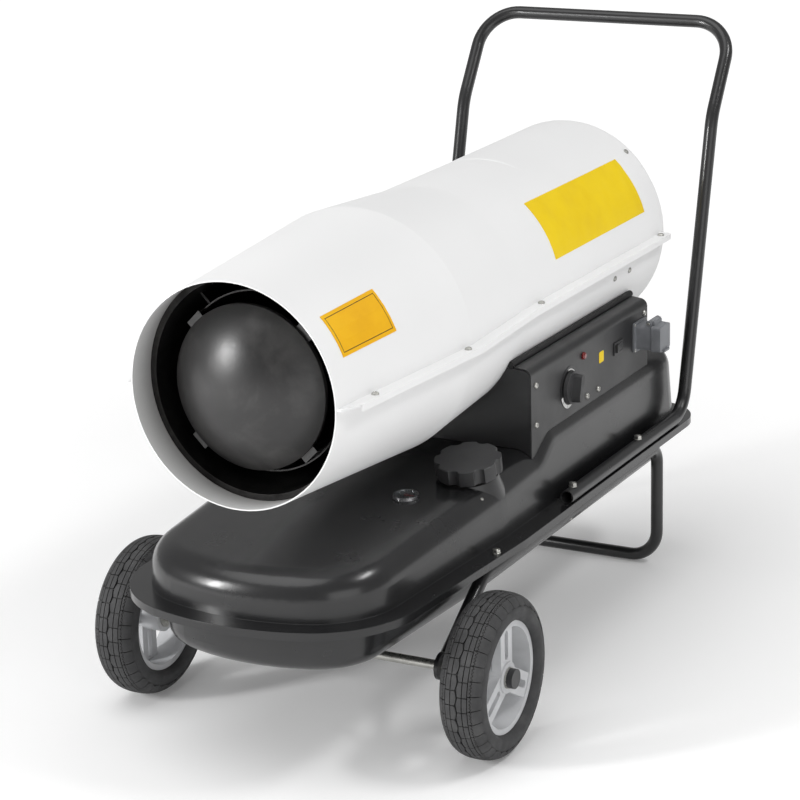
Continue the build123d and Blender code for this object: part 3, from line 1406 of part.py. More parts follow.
# Lid: a deep cover with a knuckle between the two ears and a pull lip at its lower edge
lid_plane = on_panel(SOCKET_AT, lid_back_x)
lid_side = SOCKET_BODY + 2 * LID_LAP
lid_bore = SOCKET_BODY - LID_WALL
knuckle_w = SOCKET_BODY - 2 * EAR_T - 2 * SLIDE_GAP
strap_w = lid_back_x + LID_STRAP_LAP - pin_x
with BuildPart() as socket_lid:
    with BuildSketch(lid_plane):
        RectangleRounded(lid_side, lid_side, SOCKET_ROUND)
    extrude(amount=LID_T, taper=LID_TAPER)
    with BuildSketch(lid_plane):
        RectangleRounded(lid_bore, lid_bore, LID_BORE_ROUND)
    extrude(amount=LID_T - LID_WALL, mode=Mode.SUBTRACT)
    with BuildSketch(Plane.XZ.offset(-SOCKET_AT[0] - knuckle_w / 2)):
        with Locations((pin_x, pin_z)):
            Circle(LID_PIN_D)
        with Locations((pin_x + strap_w / 2, pin_z + LID_PIN_D / 2)):
            Rectangle(strap_w, LID_PIN_D)
        with Locations((lid_back_x + LID_STRAP_T / 2, pin_z - LID_PIN_D / 2)):
            Rectangle(LID_STRAP_T, 2 * LID_PIN_D)
    extrude(amount=knuckle_w)
    with BuildSketch(Plane.XZ.offset(-SOCKET_AT[0] - SOCKET_BODY)):
        with Locations((pin_x, pin_z)):
            Circle(LID_PIN_D / 2 + RUN_FIT)
    extrude(amount=2 * SOCKET_BODY, mode=Mode.SUBTRACT)
    with BuildSketch(Plane.XY.offset(socket_z - SOCKET_BODY / 2 - LID_LAP)):
        with Locations((lid_back_x + LID_T - JOINT_LAP, SOCKET_AT[0])):
            Rectangle(LID_LIP_L, SOCKET_BODY / 2)
    extrude(amount=LID_LIP_T)
finish(socket_lid, "socket_lid")

# ---------------------------------------------------------------- filler

with BuildPart() as filler_neck:
    with BuildSketch(filler_plane.offset(-NECK_SINK)):
        Circle(NECK_D / 2)
        Circle(NECK_D / 2 - NECK_WALL, mode=Mode.SUBTRACT)
    extrude(amount=NECK_SINK + NECK_H)
    with BuildSketch(filler_plane.offset(CLOSE_GAP)):
        Circle(NECK_D / 2 + NECK_COLLAR_W)
        Circle(NECK_D / 2 - COLLAR_WELD, mode=Mode.SUBTRACT)
    extrude(amount=SHEET)
finish(filler_neck, "filler_neck")

with BuildPart() as filler_strainer:
    with BuildSketch(filler_plane.offset(NECK_H)):
        Circle(NECK_D / 2 - SEAT)
        Circle(STRAINER_D / 2 - STRAINER_T, mode=Mode.SUBTRACT)
    extrude(amount=STRAINER_T)
    with BuildSketch(filler_plane.offset(NECK_H - STRAINER_DEPTH)):
        Circle(STRAINER_D / 2)
        Circle(STRAINER_D / 2 - STRAINER_T, mode=Mode.SUBTRACT)
    extrude(amount=STRAINER_DEPTH)
    with BuildSketch(filler_plane.offset(NECK_H - STRAINER_DEPTH)):
        Circle(STRAINER_D / 2)
    extrude(amount=STRAINER_T)
finish(filler_strainer, "filler_strainer")

seal_z = NECK_H + STRAINER_T + SEAT
with BuildPart() as cap_seal:
    with BuildSketch(filler_plane.offset(seal_z)):
        Circle(NECK_D / 2)
        Circle(STRAINER_D / 2, mode=Mode.SUBTRACT)
    extrude(amount=SEAL_T)
finish(cap_seal, "cap_seal")

cap_rim_plane = filler_plane.offset(seal_z + SEAL_T + SEAT + CAP_WALL - CAP_H)
with BuildPart(cap_rim_plane) as fuel_cap:
    with BuildSketch(cap_rim_plane):
        Circle(CAP_D / 2)
        with PolarLocations(CAP_D / 2 + CAP_SCALLOP_SET, CAP_LOBES):
            Circle(CAP_SCALLOP_R, mode=Mode.SUBTRACT)
    extrude(amount=CAP_H)
    chamfer(fuel_cap.faces().sort_by(SortBy.AREA)[-2:].edges(), CAP_EDGE)
    with BuildSketch(cap_rim_plane):
        Circle(NECK_D / 2 + CAP_BORE_GAP)
    extrude(amount=CAP_H - CAP_WALL, mode=Mode.SUBTRACT)
finish(fuel_cap, "fuel_cap")

# ---------------------------------------------------------------- level gauge, drain and lines

gauge_tilt = 180 / pi * DECK_SLOPE
gauge_plane = tilted(GAUGE_X, GAUGE_Y, deck_z(GAUGE_Y) + GAUGE_LIFT, gauge_tilt)
with BuildPart() as gauge_body:
    with BuildSketch(gauge_plane):
        Circle(GAUGE_D / 2)
    extrude(amount=GAUGE_H, taper=GAUGE_TAPER)
    with BuildSketch(gauge_plane):
        Circle(GAUGE_D / 2 - GAUGE_RIM - SLIDE_GAP)
    extrude(amount=-GAUGE_PLUG_DEPTH)
    with BuildSketch(gauge_plane):
        Circle(GAUGE_STEM_R)
    extrude(amount=-GAUGE_STEM_L)
    with BuildSketch(gauge_plane.offset(GAUGE_FLOOR)):
        Circle(GAUGE_D / 2 - GAUGE_RIM)
    extrude(amount=GAUGE_H, mode=Mode.SUBTRACT)
    with BuildSketch(gauge_plane):
        Circle(POINTER_PIN_R)
    extrude(amount=GAUGE_FLOOR + SEAT + POINTER_T)
finish(gauge_body, "gauge_body")

with BuildPart() as gauge_pointer:
    with BuildSketch(gauge_plane.offset(GAUGE_FLOOR + SEAT)):
        Circle(POINTER_HUB_R)
        with Locations((POINTER_SHIFT, 0)):
            Rectangle(POINTER_L, POINTER_W)
        Circle(POINTER_PIN_R + RUN_FIT, mode=Mode.SUBTRACT)
    extrude(amount=POINTER_T)
finish(gauge_pointer, "gauge_pointer")

with BuildPart() as gauge_lens:
    with BuildSketch(gauge_plane.offset(GAUGE_H - GAUGE_LENS_T)):
        Circle(GAUGE_D / 2 - GAUGE_RIM - RUN_FIT)
    extrude(amount=GAUGE_LENS_T)
finish(gauge_lens, "gauge_lens")

with BuildPart() as drain_plug:
    with BuildSketch(Plane.XY.offset(TANK_BOTTOM_Z - DRAIN_HEAD_H)):
        with Locations((0, drain_y)):
            RegularPolygon(DRAIN_HEX_R, 6)
    extrude(amount=DRAIN_HEAD_H)
    with BuildSketch(Plane.XY.offset(TANK_BOTTOM_Z)):
        with Locations((0, drain_y)):
            Circle(DRAIN_D / 2)
    extrude(amount=DRAIN_HEAD_H)
finish(drain_plug, "drain_plug")

pickup_low_z = TANK_BOTTOM_Z + SHEET + PICKUP_CLEAR
filter_low_z = TANK_BOTTOM_Z + SHEET + FILTER_CLEAR
with BuildPart() as fuel_pickup:
    with BuildSketch(Plane.XY.offset(TANK_TOP_Z + CLOSE_GAP)):
        with Locations((-LINE_X, LINE_Y)):
            Circle(PICKUP_FLANGE_D / 2)
    extrude(amount=PICKUP_FLANGE_T)
    with BuildSketch(Plane.XY.offset(pickup_low_z)):
        with Locations((-LINE_X, LINE_Y)):
            Circle(PICKUP_D / 2)
    extrude(amount=LINE_Z - pickup_low_z)
finish(fuel_pickup, "fuel_pickup")

with BuildPart() as fuel_filter:
    with BuildSketch(Plane.XY.offset(filter_low_z)):
        with Locations((-LINE_X, LINE_Y)):
            Circle(FILTER_R)
    extrude(amount=FILTER_L)
    with BuildSketch(Plane.XY.offset(pickup_low_z)):
        with Locations((-LINE_X, LINE_Y)):
            Circle(PICKUP_D / 2)
    extrude(amount=FILTER_L + FILTER_CLEAR - PICKUP_CLEAR, mode=Mode.SUBTRACT)
finish(fuel_filter, "fuel_filter")


def line_tube(path):
    """Solid flexible line swept along a wire."""
    with BuildPart(mode=Mode.PRIVATE) as tube:
        with BuildSketch(Plane(origin=path @ 0, z_dir=path % 0)):
            Circle(LINE_D / 2)
        sweep(path=path)
    return tube.part


with BuildLine() as fuel_path:
    FilletPolyline(
        (-LINE_X, LINE_Y, LINE_Z),
        (-LINE_X, LINE_Y, BARREL_Z),
        (-NOZZLE_D / 2 - CLOSE_GAP, LINE_Y, BARREL_Z),
        radius=LINE_BEND_R,
    )
fuel_tube = line_tube(fuel_path.line)
with BuildPart() as fuel_line:
    add(fuel_tube)
finish(fuel_line, "fuel_line")

pump_mid_y = MOTOR_Y + MOTOR_L + PUMP_L / 2
port_z = BARREL_Z - sqrt((PUMP_D / 2) ** 2 - PUMP_PORT_X**2)
run_r = (FAN_R + WAIST_R - SHEET) / 2  # midway between fan and shell
run_z = BARREL_Z - sqrt(run_r**2 - LINE_X**2)
with BuildLine() as air_path:
    FilletPolyline(
        (PUMP_PORT_X, pump_mid_y, port_z - PORT_DROP),
        (PUMP_PORT_X, pump_mid_y, port_z - PORT_RUN),
        (LINE_X, pump_mid_y, run_z),
        (LINE_X, LINE_Y, run_z),
        (LINE_X, LINE_Y, BARREL_Z),
        (NOZZLE_D / 2 + CLOSE_GAP, LINE_Y, BARREL_Z),
        radius=[LINE_BEND_R / 2, LINE_BEND_R / 2, LINE_BEND_R, LINE_BEND_R],
    )
air_tube = line_tube(air_path.line)
with BuildPart() as air_line:
    add(air_tube)
finish(air_line, "air_line")

electrode_y = CHAMBER_REAR_Y + ELECTRODE_SET
with BuildPart() as ignition_electrodes:
    for side in (-1, 1):
        with BuildSketch(across(electrode_y)):
            with Locations((side * ELECTRODE_X, -ELECTRODE_RISE)):
                Circle(ELECTRODE_D / 2)
        extrude(amount=ELECTRODE_L)
        with BuildSketch(across(electrode_y - ELECTRODE_TIP)):
            with Locations((side * ELECTRODE_X, -ELECTRODE_RISE)):
                Circle(ELECTRODE_WIRE_R)
        extrude(amount=ELECTRODE_TIP)
finish(ignition_electrodes, "ignition_electrodes")

with BuildPart() as flame_sensor:
    with BuildSketch(across(CHAMBER_REAR_Y + CLOSE_GAP)):
        with Locations((SENSOR_X, -SENSOR_RISE)):
            Circle(SENSOR_R)
    extrude(amount=SENSOR_L)
finish(flame_sensor, "flame_sensor")
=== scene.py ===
import json
import math

import bmesh
import bpy
from mathutils import Matrix, Vector
from mathutils.bvhtree import BVHTree


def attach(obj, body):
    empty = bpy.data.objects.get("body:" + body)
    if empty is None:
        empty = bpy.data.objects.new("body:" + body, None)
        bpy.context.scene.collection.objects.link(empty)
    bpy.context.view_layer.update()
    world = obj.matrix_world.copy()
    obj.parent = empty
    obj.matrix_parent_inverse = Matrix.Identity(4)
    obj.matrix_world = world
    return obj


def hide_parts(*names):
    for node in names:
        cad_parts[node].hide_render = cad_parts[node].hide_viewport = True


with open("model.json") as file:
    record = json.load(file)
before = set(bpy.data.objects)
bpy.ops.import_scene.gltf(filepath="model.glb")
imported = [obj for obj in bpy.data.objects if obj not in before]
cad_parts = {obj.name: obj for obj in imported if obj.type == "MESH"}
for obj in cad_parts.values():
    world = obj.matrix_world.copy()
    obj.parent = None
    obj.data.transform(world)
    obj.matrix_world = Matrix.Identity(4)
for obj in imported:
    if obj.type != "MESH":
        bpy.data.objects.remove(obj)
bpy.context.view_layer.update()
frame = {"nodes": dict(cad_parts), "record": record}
NODES = frame["nodes"]

# Places that several pieces share, in metres
BARREL_Z = 0.460  # axis of the barrel
OUTLET_Y = -0.508  # mouth of the barrel, level with the crown of the baffle dome
PANEL_X = 0.162  # outer face of the control panel
AXLE_Y = -0.340
AXLE_Z = 0.100
WHEEL_X = 0.2375  # middle of a wheel

# ------------------------------------------------------------------ camera

AZIMUTH = 0.49171439  # in radians, from straight before the mouth towards the control side
ELEVATION = 0.29547617
ROLL = -0.02725535
CAMERA_PLACE = Vector((1.4772, -2.8672, 1.2966))
LENS = 116.54
SENSOR = 36.0


def place_camera():
    """Camera before the mouth, towards the control side and slightly above."""
    level = math.cos(ELEVATION)
    back = Vector((math.sin(AZIMUTH) * level, -math.cos(AZIMUTH) * level, math.sin(ELEVATION)))
    right = Vector((math.cos(AZIMUTH), math.sin(AZIMUTH), 0.0))
    up = back.cross(right)
    rolled_right = right * math.cos(ROLL) + up * math.sin(ROLL)
    rolled_up = up * math.cos(ROLL) - right * math.sin(ROLL)
    data = bpy.data.cameras.new("cam")
    data.lens = LENS
    data.sensor_width = SENSOR
    camera = bpy.data.objects.new("cam", data)
    bpy.context.scene.collection.objects.link(camera)
    axes = Matrix((rolled_right, rolled_up, back)).transposed().to_4x4()
    camera.matrix_world = Matrix.Translation(CAMERA_PLACE) @ axes
    bpy.context.scene.camera = camera


place_camera()

# ------------------------------------------------------------------ material nodes


class Mat:
    """A node material round one Principled shader."""

    def __init__(self, name):
        self.material = bpy.data.materials.new(name)
        self.material.use_nodes = True
        self.tree = self.material.node_tree
        self.shader = self.tree.nodes["Principled BSDF"]
        self.place = self.node("ShaderNodeTexCoord").outputs["Object"]

    def node(self, kind, **settings):
        made = self.tree.nodes.new(kind)
        for key, value in settings.items():
            setattr(made, key, value)
        return made

    def feed(self, socket, value):
        """Links an output to a socket, or writes a number or a colour on it."""
        if isinstance(value, (float, int)):
            socket.default_value = value
        elif isinstance(value, tuple):
            socket.default_value = (*value, 1) if len(value) == 3 else value
        else:
            self.tree.links.new(value, socket)

    def noise(self, scale, detail=3.0, rough=0.5, stretch=None, distort=0.0):
        texture = self.node("ShaderNodeTexNoise")
        texture.inputs["Scale"].default_value = scale
        texture.inputs["Detail"].default_value = detail
        texture.inputs["Roughness"].default_value = rough
        texture.inputs["Distortion"].default_value = distort
        place = self.place
        if stretch:
            mapping = self.node("ShaderNodeMapping")
            mapping.inputs["Scale"].default_value = stretch
            self.feed(mapping.inputs["Vector"], self.place)
            place = mapping.outputs["Vector"]
        self.feed(texture.inputs["Vector"], place)
        return texture.outputs["Fac"]

    def ramp(self, value, stops):
        """Colours that blend from stop to stop, each stop a position and a colour."""
        ramp = self.node("ShaderNodeValToRGB")
        elements = ramp.color_ramp.elements
        while len(elements) < len(stops):
            elements.new(0.5)
        for element, (position, colour) in zip(elements, stops):
            element.position = position
            element.color = (*colour, 1)
        self.feed(ramp.inputs["Fac"], value)
        return ramp.outputs["Color"]

    def span(self, value, low, high, start=0.3, end=0.7):
        """Runs from low to high while the value runs from start to end."""
        ranged = self.node("ShaderNodeMapRange")
        ranged.inputs["From Min"].default_value = start
        ranged.inputs["From Max"].default_value = end
        ranged.inputs["To Min"].default_value = low
        ranged.inputs["To Max"].default_value = high
        self.feed(ranged.inputs["Value"], value)
        return ranged.outputs["Result"]

    def mix(self, share, first, second):
        """Blend of two colours or vectors."""
        blend = self.node("ShaderNodeMix", data_type="RGBA")
        self.feed(blend.inputs["Factor"], share)
        self.feed(blend.inputs[6], first)
        self.feed(blend.inputs[7], second)
        return blend.outputs[2]

    def math(self, operation, first, second):
        result = self.node("ShaderNodeMath", operation=operation)
        self.feed(result.inputs[0], first)
        self.feed(result.inputs[1], second)
        return result.outputs[0]

    def split(self, vector):
        """The X, Y and Z sockets of a vector."""
        parts = self.node("ShaderNodeSeparateXYZ")
        self.feed(parts.inputs[0], vector)
        return parts.outputs

    def edges(self, radius):
        """1 on worn edges and 0 on flats, and the rounded normal."""
        rounded = self.node("ShaderNodeBevel", samples=4)
        rounded.inputs["Radius"].default_value = radius
        likeness = self.node("ShaderNodeVectorMath", operation="DOT_PRODUCT")
        self.feed(likeness.inputs[0], rounded.outputs["Normal"])
        self.feed(likeness.inputs[1], self.node("ShaderNodeNewGeometry").outputs["Normal"])
        worn = self.span(likeness.outputs["Value"], 1.0, 0.0, start=0.80, end=0.985)
        return worn, rounded.outputs["Normal"]

    def bump(self, height, strength, distance, normal=None):
        relief = self.node("ShaderNodeBump")
        relief.inputs["Strength"].default_value = strength
        relief.inputs["Distance"].default_value = distance
        self.feed(relief.inputs["Height"], height)
        if normal is not None:
            self.feed(relief.inputs["Normal"], normal)
        self.feed(self.shader.inputs["Normal"], relief.outputs["Normal"])

    def set(self, **inputs):
        for key, value in inputs.items():
            self.feed(self.shader.inputs[key.replace("_", " ")], value)


def srgb(red, green, blue):
    """Linear colour from screen values of 0 to 255."""
    return tuple(
        ((c / 255 + 0.055) / 1.055) ** 2.4 if c > 10 else c / 255 / 12.92
        for c in (red, green, blue)
    )


# ------------------------------------------------------------------ kinds of material

PAINT_EDGE = 0.0012  # radius of the worn edge of painted sheet
PLATED_EDGE = 0.0006
MOULDED_EDGE = 0.0008
SCALED_EDGE = 0.001
SHADE_DEPTH = 0.045  # depth into the mouth over which the painted shade on the inside darkens
DOME_ROUND = 0.140  # radius taken for the baffle dome's dish
CROWN_REACH = 0.008  # round the crown where the dome's normal is worked out


def painted(name, dark, base, light, edge, rough, peel_scale, peel, grain_scale=None, coat=0.0):
    """Sprayed or powder-coated sheet: cloudy tone, orange peel and thin wear on the edges."""
    m = Mat(name)
    cloud = m.noise(scale=6.0, detail=4.0, rough=0.55)
    colour = m.ramp(cloud, ((0.3, dark), (0.5, base), (0.72, light)))
    spots = m.noise(scale=55.0, detail=6.0, rough=0.62)
    colour = m.mix(m.span(spots, 0.0, 0.22, start=0.56, end=0.75), colour, dark)
    worn, normal = m.edges(PAINT_EDGE)
    chips = m.noise(scale=160.0, detail=3.0, rough=0.6)
    chipped = m.math("MULTIPLY", worn, m.span(chips, 0.0, 0.55, start=0.45, end=0.75))
    colour = m.mix(chipped, colour, edge)
    height = m.noise(scale=peel_scale, detail=2.0)
    if grain_scale:
        grain = m.noise(scale=grain_scale, detail=2.0, rough=0.6)
        height = m.math("ADD", height, m.math("MULTIPLY", grain, 0.6))
    m.bump(height, strength=peel, distance=0.0006, normal=normal)
    smear = m.noise(scale=14.0, detail=5.0, rough=0.6)
    m.set(Base_Color=colour, Roughness=m.span(smear, *rough))
    if coat:
        m.set(Coat_Weight=coat, Coat_Roughness=0.08)
    return m.material


def metal(name, dark, base, rough=(0.25, 0.45), stretch=(1, 1, 1), scale=300.0, grain=0.08):
    """Bare or plated metal with drawn or cast grain and slight staining."""
    m = Mat(name)
    stain = m.noise(scale=22.0, detail=5.0, rough=0.6)
    drawn = m.noise(scale=scale, detail=4.0, rough=0.6, stretch=stretch)
    colour = m.ramp(stain, ((0.3, dark), (0.62, base)))
    worn, normal = m.edges(PLATED_EDGE)
    bright = tuple(min(1.0, 1.25 * c) for c in base)
    colour = m.mix(m.math("MULTIPLY", worn, 0.6), colour, bright)
    m.bump(drawn, strength=grain, distance=0.0004, normal=normal)
    m.set(Base_Color=colour, Metallic=1.0, Roughness=m.span(drawn, *rough))
    return m.material


def moulded(name, dark, base, light, rough=(0.42, 0.58), scale=900.0, grain=0.12, worn_to=None):
    """Moulded plastic, rubber or glaze: fine grain, cloudy gloss and paler worn edges."""
    m = Mat(name)
    cloud = m.noise(scale=30.0, detail=4.0, rough=0.55)
    colour = m.ramp(cloud, ((0.32, dark), (0.52, base), (0.72, light)))
    worn, normal = m.edges(MOULDED_EDGE)
    if worn_to:
        colour = m.mix(m.math("MULTIPLY", worn, 0.4), colour, worn_to)
    spark = m.noise(scale=scale, detail=3.0, rough=0.6)
    m.bump(spark, strength=grain, distance=0.0004, normal=normal)
    m.set(Base_Color=colour, Roughness=m.span(m.noise(scale=60.0), *rough))
    return m.material


def shell_enamel(name):
    """Satin white enamel outside; inside the mouth, painted shade that greys the colour with the
    depth.
    """
    m = Mat(name)
    cloud = m.noise(scale=3.0, detail=2.0)
    tone = m.ramp(cloud, ((0.3, srgb(243, 243, 243)), (0.7, srgb(247, 247, 247))))
    at = m.split(m.place)
    facing = m.split(m.node("ShaderNodeNewGeometry").outputs["True Normal"])
    side_part = m.math("MULTIPLY", at["X"], facing["X"])
    high_part = m.math("MULTIPLY", m.math("SUBTRACT", at["Z"], BARREL_Z), facing["Z"])
    inside = m.span(m.math("ADD", side_part, high_part), 1.0, 0.0, start=-0.02, end=-0.005)
    # painted shade: the inner face greys from near white at the mouth to light grey deeper in
    depth = m.span(at["Y"], 0.0, 1.0, start=OUTLET_Y, end=OUTLET_Y + SHADE_DEPTH)
    depth_shade = m.mix(depth, srgb(236, 236, 235), srgb(176, 175, 174))
    m.bump(m.noise(scale=220.0, detail=2.0), strength=0.012, distance=0.0004)
    haze = m.span(m.noise(scale=5.0, detail=2.0), 0.46, 0.54)
    m.set(Base_Color=m.mix(inside, tone, depth_shade), Roughness=haze)
    return m.material


def crown_normal(m):
    """Even normal round the dome's crown, where its facets meet, and the mesh's further out."""
    from_middle = m.node("ShaderNodeVectorMath", operation="SUBTRACT")
    m.feed(from_middle.inputs[0], m.place)
    from_middle.inputs[1].default_value = (0.0, OUTLET_Y + DOME_ROUND, BARREL_Z)
    even = m.node("ShaderNodeVectorMath", operation="NORMALIZE")
    m.feed(even.inputs[0], from_middle.outputs["Vector"])
    sideways = m.node("ShaderNodeVectorMath", operation="MULTIPLY")
    m.feed(sideways.inputs[0], from_middle.outputs["Vector"])
    sideways.inputs[1].default_value = (1.0, 0.0, 1.0)
    off_axis = m.node("ShaderNodeVectorMath", operation="LENGTH")
    m.feed(off_axis.inputs[0], sideways.outputs["Vector"])
    near = m.span(off_axis.outputs["Value"], 1.0, 0.0, start=CROWN_REACH, end=2 * CROWN_REACH)
    mesh_normal = m.node("ShaderNodeNewGeometry").outputs["Normal"]
    return m.mix(near, mesh_normal, even.outputs["Vector"])


def burnt(name, dome=False):
    """Steel that has been hot: dull scale, darker blotches and soot; the dome has no worn edge."""
    m = Mat(name)
    scale = m.noise(scale=11.0, detail=6.0, rough=0.62, distort=0.4)
    tones = (0.28, srgb(22, 22, 22)), (0.5, srgb(34, 33, 33)), (0.74, srgb(66, 65, 64))
    colour = m.ramp(scale, tones)
    soot = m.noise(scale=42.0, detail=5.0, rough=0.65)
    colour = m.mix(m.span(soot, 0.0, 0.4, start=0.5, end=0.72), colour, srgb(34, 33, 33))
    if dome:
        normal = crown_normal(m)
    else:
        worn, normal = m.edges(SCALED_EDGE)
        colour = m.mix(m.math("MULTIPLY", worn, 0.5), colour, srgb(128, 124, 120))
    pits = m.noise(scale=340.0, detail=4.0, rough=0.6)
    m.bump(pits, strength=0.18, distance=0.0005, normal=normal)
    m.set(Base_Color=colour, Metallic=0.3, Specular_IOR_Level=0.9)
    m.set(Roughness=m.span(m.noise(scale=18.0, detail=5.0, rough=0.6), 0.29, 0.42))
    return m.material


def lamp_glass(name):
    """Red lens of the indicator lamp, finely mottled."""
    m = Mat(name)
    mottle = m.noise(scale=700.0, detail=2.0)
    colour = m.ramp(mottle, ((0.35, srgb(96, 12, 12)), (0.65, srgb(140, 22, 20))))
    m.bump(m.noise(scale=1400.0, detail=2.0), strength=0.15, distance=0.0003)
    m.set(Base_Color=colour, Roughness=m.span(m.noise(scale=90.0), 0.10, 0.2), Coat_Weight=0.5)
    return m.material


def clear_lens(name):
    """Clear gauge window, slightly scuffed."""
    m = Mat(name)
    scuffs = m.noise(scale=120.0, detail=5.0, rough=0.7)
    m.set(Base_Color=srgb(232, 236, 238), Transmission_Weight=1.0, IOR=1.46)
    m.set(Roughness=m.span(scuffs, 0.03, 0.14))
    m.bump(m.noise(scale=300.0, detail=4.0), strength=0.04, distance=0.0003)
    return m.material


def tyre_rubber(name):
    """Dark tyre rubber with dusty hollows and faintly scuffed edges."""
    m = Mat(name)
    dust = m.noise(scale=38.0, detail=5.0, rough=0.6)
    tones = (0.3, srgb(52, 52, 53)), (0.55, srgb(62, 62, 63)), (0.75, srgb(76, 76, 76))
    colour = m.ramp(dust, tones)
    worn, normal = m.edges(SCALED_EDGE)
    colour = m.mix(m.math("MULTIPLY", worn, 0.45), colour, srgb(92, 91, 89))
    grain = m.noise(scale=900.0, detail=4.0, rough=0.65)
    m.bump(grain, strength=0.25, distance=0.0005, normal=normal)
    m.set(Base_Color=colour, Roughness=m.span(m.noise(scale=70.0, detail=4.0), 0.62, 0.82))
    return m.material


def film(name, dark, base, light):
    """Printed vinyl film: even colour with slight fading, satin gloss."""
    m = Mat(name)
    fading = m.noise(scale=16.0, detail=4.0, rough=0.6)
    colour = m.ramp(fading, ((0.3, dark), (0.5, base), (0.75, light)))
    m.bump(m.noise(scale=240.0), strength=0.05, distance=0.0003)
    m.set(Base_Color=colour, Roughness=m.span(m.noise(scale=50.0, detail=4.0), 0.42, 0.54))
    m.set(Specular_IOR_Level=0.3)
    return m.material


# ------------------------------------------------------------------ looks of the CAD parts

LOOKS = {
    "shell_white": shell_enamel("shell_enamel"),
    "tank_black": painted(
        "tank_enamel", srgb(24, 24, 25), srgb(30, 30, 31), srgb(36, 36, 37),
        edge=srgb(84, 84, 86), rough=(0.24, 0.28), peel_scale=180.0, peel=0.015, coat=0.15,
    ),
    "box_black": painted(
        "box_powder", srgb(30, 30, 31), srgb(38, 38, 39), srgb(47, 47, 48),
        edge=srgb(90, 90, 92), rough=(0.34, 0.46), peel_scale=520.0, peel=0.12, grain_scale=2200.0,
    ),
    "tube_black": painted(
        "tube_powder", srgb(22, 22, 23), srgb(30, 30, 31), srgb(40, 40, 41),
        edge=srgb(80, 80, 82), rough=(0.26, 0.38), peel_scale=600.0, peel=0.08, coat=0.2,
    ),
    "zinc": metal(
        "zinc_plate", srgb(150, 150, 146), srgb(196, 195, 190), rough=(0.22, 0.42), scale=500.0
    ),
    "cap_black": moulded(
        "cap_plastic", srgb(40, 40, 41), srgb(48, 48, 49), srgb(56, 56, 57),
        rough=(0.34, 0.46), worn_to=srgb(110, 110, 112),
    ),
    "sheet_steel": metal(
        "shield_steel", srgb(40, 39, 39), srgb(74, 73, 72), rough=(0.42, 0.60), stretch=(1, 6, 1)
    ),
    "rubber_black": moulded(
        "soft_rubber", srgb(20, 20, 21), srgb(27, 27, 28), srgb(36, 36, 37), rough=(0.6, 0.78)
    ),
    "rim_grey": moulded(
        "rim_plastic", srgb(192, 193, 195), srgb(202, 203, 205), srgb(210, 211, 213),
        worn_to=srgb(222, 222, 224),
    ),
    "socket_grey": moulded(
        "socket_plastic", srgb(110, 112, 116), srgb(122, 124, 128), srgb(134, 136, 140),
        worn_to=srgb(150, 152, 156),
    ),
    "brass": metal("nozzle_brass", srgb(150, 118, 60), srgb(200, 164, 92)),
    "cast_aluminium": metal(
        "cast_alloy", srgb(132, 133, 135), srgb(172, 173, 175),
        rough=(0.42, 0.6), scale=700.0, grain=0.3,
    ),
    "fan_metal": metal("fan_alloy", srgb(150, 151, 153), srgb(182, 183, 185), rough=(0.3, 0.45)),
    "neck_steel": metal("neck_plate", srgb(126, 124, 118), srgb(170, 168, 160)),
    "filter_white": moulded(
        "filter_mesh", srgb(190, 188, 180), srgb(214, 212, 204), srgb(228, 226, 220), scale=400.0
    ),
    "dial_silver": moulded(
        "dial_film", srgb(26, 26, 27), srgb(32, 32, 33), srgb(40, 40, 41), rough=(0.3, 0.4)
    ),
    "board_green": moulded(
        "board_resin", srgb(18, 66, 36), srgb(24, 84, 46), srgb(40, 104, 60),
        rough=(0.3, 0.45), scale=250.0,
    ),
    "switch_black": moulded("unit_plastic", srgb(28, 28, 30), srgb(36, 36, 38), srgb(46, 46, 48)),
    "porcelain": moulded(
        "glazed_porcelain", srgb(214, 208, 196), srgb(228, 224, 214), srgb(238, 236, 230),
        rough=(0.15, 0.3), grain=0.03,
    ),
    "pointer_red": moulded(
        "needle_red", srgb(165, 26, 22), srgb(190, 34, 28), srgb(204, 50, 42),
        rough=(0.3, 0.42), grain=0.04,
    ),
    "dark_steel": burnt("scaled_steel"),
    "lamp_red": lamp_glass("lamp_lens"),
    "lens_clear": clear_lens("gauge_window"),
    "tyre_rubber": tyre_rubber("tyre_rubber"),
}

# Parts whose look differs from that of their slot
OWN_LOOKS = {
    "baffle_dome": burnt("sooty_dome", dome=True),
    "gauge_body": metal(
        "gauge_ring", srgb(96, 96, 98), srgb(176, 176, 178), rough=(0.2, 0.36), scale=420.0
    ),
    "thermostat_knob": moulded(
        "knob_plastic", srgb(48, 48, 49), srgb(56, 56, 57), srgb(64, 64, 65),
        worn_to=srgb(96, 96, 98),
    ),
}

YELLOW_FILM = film("label_yellow", srgb(241, 204, 3), srgb(246, 211, 4), srgb(250, 216, 12))
AMBER_FILM = film("label_amber", srgb(240, 178, 4), srgb(246, 186, 6), srgb(250, 194, 14))
BLACK_PRINT = film("label_ink", srgb(28, 26, 24), srgb(34, 32, 30), srgb(44, 42, 40))
WHITE_PRINT = film("dial_print", srgb(212, 212, 210), srgb(226, 226, 224), srgb(236, 236, 234))

for part in frame["record"]["subparts"]:
    materials = NODES[part["node"]].data.materials
    materials.clear()
    materials.append(OWN_LOOKS.get(part["node"], LOOKS[part["material_slot"]]))

# ------------------------------------------------------------------ mesh helpers


def piece(name, bm, look, body="chassis", smooth=None, replaces=()):
    """Turns a bmesh into a piece on a body; edges bent over smooth degrees stay sharp."""
    bm.normal_update()
    if smooth is not None:
        for face in bm.faces:
            face.smooth = True
        for edge in bm.edges:
            bent = len(edge.link_faces) == 2 and edge.calc_face_angle(0.0) > math.radians(smooth)
            edge.smooth = not bent
    mesh = bpy.data.meshes.new(name)
    bm.to_mesh(mesh)
    bm.free()
    mesh.materials.append(look)
    made = bpy.data.objects.new(name, mesh)
    bpy.context.scene.collection.objects.link(made)
    if replaces:
        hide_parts(*replaces)
    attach(made, body)


